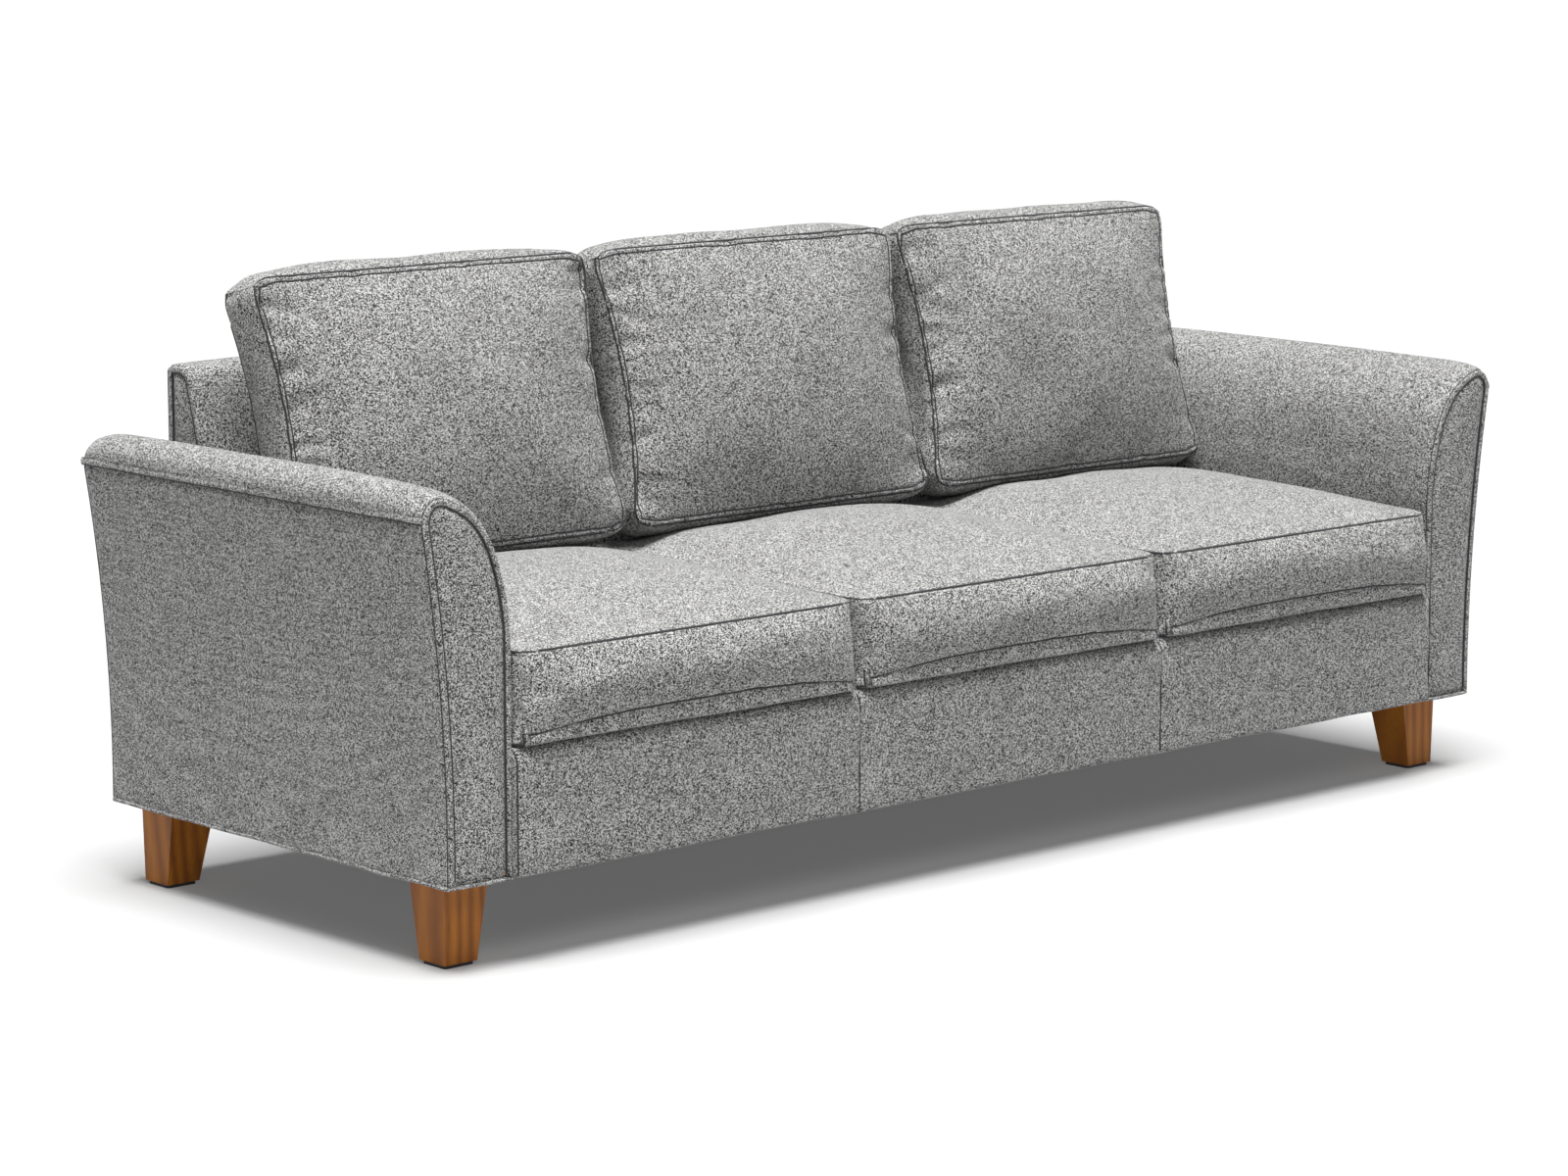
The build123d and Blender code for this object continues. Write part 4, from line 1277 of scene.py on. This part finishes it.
BACKREST = {
    "crowns": (0.042, 0.070), "bulges": (0.016, 0.019, 0.008), "corner": 0.036, "waist": 0.026,
    "fullness": (2.6, 2.6), "cap": 0.012, "lumps": 0.0016, "lapped": True, "fill": 0.6,
    "creases": ((15, 0.060, 0.0075), (11, 0.050, 0.0055), (10, 0.045, 0.0040), (9, 0.045, 0.0036)),
    "border_creases": ((3, 0.03, 0.002), (3, 0.03, 0.002), (9, 0.025, 0.002), (7, 0.02, 0.0018)),
    "limit": back_limit,
}


def cushions():
    """The three seats first, then the three backs that rest on them."""
    made = []
    for kind, corners, settings in (("seat", seat_corners, SEAT),
                                    ("back", back_corners, BACKREST)):
        for side in ("left", "middle", "right"):
            made.append(Cushion(f"{kind}_cushion_{side}", corners, settings))
    seats = []
    for cushion, vertices, index in inflate(made):
        if cushion.settings is SEAT:
            seats.append(finish_cushion(cushion, vertices, index, []))
        else:
            finish_cushion(cushion, vertices, index, seats)


# ---- Legs ------------------------------------------------------------------------------------
def legs():
    """The wooden legs keep their nodes, with softened edges and a grain of their own each."""
    for k, name in enumerate(("front_left", "front_right", "rear_left", "rear_right")):
        node = frame["nodes"][f"leg_{name}"]
        edge = node.modifiers.new("soft_edges", "BEVEL")
        edge.width = 0.0016
        edge.segments = 3
        edge.limit_method = "ANGLE"
        node.data.materials.clear()
        node.data.materials.append(leg_wood(f"leg_wood_{name}", k))


# ---- Camera, light and floor -----------------------------------------------------------------
CAMERA_PLACE = (-4.7325, -5.0949, 1.519)
CAMERA_LENS = 107.1                # mm, on a sensor 36 mm wide
CAMERA_AZIMUTH = math.radians(-42.26)
CAMERA_ELEVATION = math.radians(9.45)
SUN_POWER = 7.6
SUN_WIDTH = math.radians(34)       # very wide, as from a large overhead screen
SUN_TOWARD = (-0.09, -0.12, 1.0)
FLOOR_REACH = 60.0
FLOOR_GLOW = 0.11                  # keeps the shadow under the sofa from going black
# The sky is white at the horizon and dim above it, over these heights of the view direction.
HAZE = (("From Min", 0.05), ("From Max", 0.12), ("To Min", 1.0), ("To Max", 0.08))


def camera():
    data = bpy.data.cameras.new("camera")
    data.lens = CAMERA_LENS
    data.sensor_width = 36.0
    data.sensor_fit = "HORIZONTAL"
    data.clip_end = 200
    holder = add_to_scene("camera", data)
    holder.location = CAMERA_PLACE
    ahead = -Vector((math.sin(CAMERA_AZIMUTH) * math.cos(CAMERA_ELEVATION),
                     -math.cos(CAMERA_AZIMUTH) * math.cos(CAMERA_ELEVATION),
                     math.sin(CAMERA_ELEVATION)))
    holder.rotation_euler = ahead.to_track_quat("-Z", "Y").to_euler()
    bpy.context.scene.camera = holder


def ground():
    """A pale floor without an edge in view."""
    n = Nodes("floor_pale")
    n.colour((0.38, 0.38, 0.38, 1))
    n.set(Roughness=0.95, Emission_Color=(1.0, 1.0, 1.0, 1.0), Emission_Strength=FLOOR_GLOW)
    corners = [(x * FLOOR_REACH, y * FLOOR_REACH, 0) for x, y in ((-1, -1), (1, -1), (1, 1), (-1, 1))]
    new_object("floor", corners, [(0, 1, 2, 3)], n.material, smooth=False)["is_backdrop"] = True


def sky():
    world = bpy.data.worlds.new("studio")
    bpy.context.scene.world = world
    world.use_nodes = True
    tree = world.node_tree
    direction = tree.nodes.new("ShaderNodeTexCoord")
    height = tree.nodes.new("ShaderNodeSeparateXYZ")
    haze = tree.nodes.new("ShaderNodeMapRange")
    tree.links.new(direction.outputs["Generated"], height.inputs[0])
    tree.links.new(height.outputs[2], haze.inputs["Value"])
    for label, value in HAZE:
        haze.inputs[label].default_value = value
    tree.links.new(haze.outputs["Result"], tree.nodes["Background"].inputs["Strength"])
    tree.nodes["Background"].inputs["Color"].default_value = (1.0, 1.0, 1.0, 1.0)


def sun():
    data = bpy.data.lights.new("key", "SUN")
    data.energy = SUN_POWER
    data.angle = SUN_WIDTH
    light = add_to_scene("key", data)
    light.rotation_euler = Vector(SUN_TOWARD).to_track_quat("Z", "Y").to_euler()


def soft_light(name, place, target, power):
    data = bpy.data.lights.new(name, "AREA")
    data.energy = power
    data.size = 1.4
    light = add_to_scene(name, data)
    light.location = place
    light.rotation_euler = (Vector(target) - Vector(place)).to_track_quat("-Z", "Y").to_euler()


def stage():
    """Floor, sky and lights of a white studio."""
    ground()
    sky()
    sun()
    soft_light("fill_left", (-3.9, -1.5, 1.0), (-1.0, 0.0, 0.35), 5.0)
    soft_light("fill_high", (-2.0, -2.9, 2.6), (-0.5, 0.2, 0.6), 38.0)
    bpy.context.scene.view_settings.view_transform = "Standard"


def write_sizes():
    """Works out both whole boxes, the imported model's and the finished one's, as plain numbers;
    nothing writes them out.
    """
    named = {"cad": CAD_BOUNDS, "visual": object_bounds()}
    lists = {name: [[float(v) for v in corner] for corner in box] for name, box in named.items()}


camera()
stage()
dress_frame()
legs()
front_rail()
back_shell()
back_ends()
back_rear()
arms()
cushions()
write_sizes()
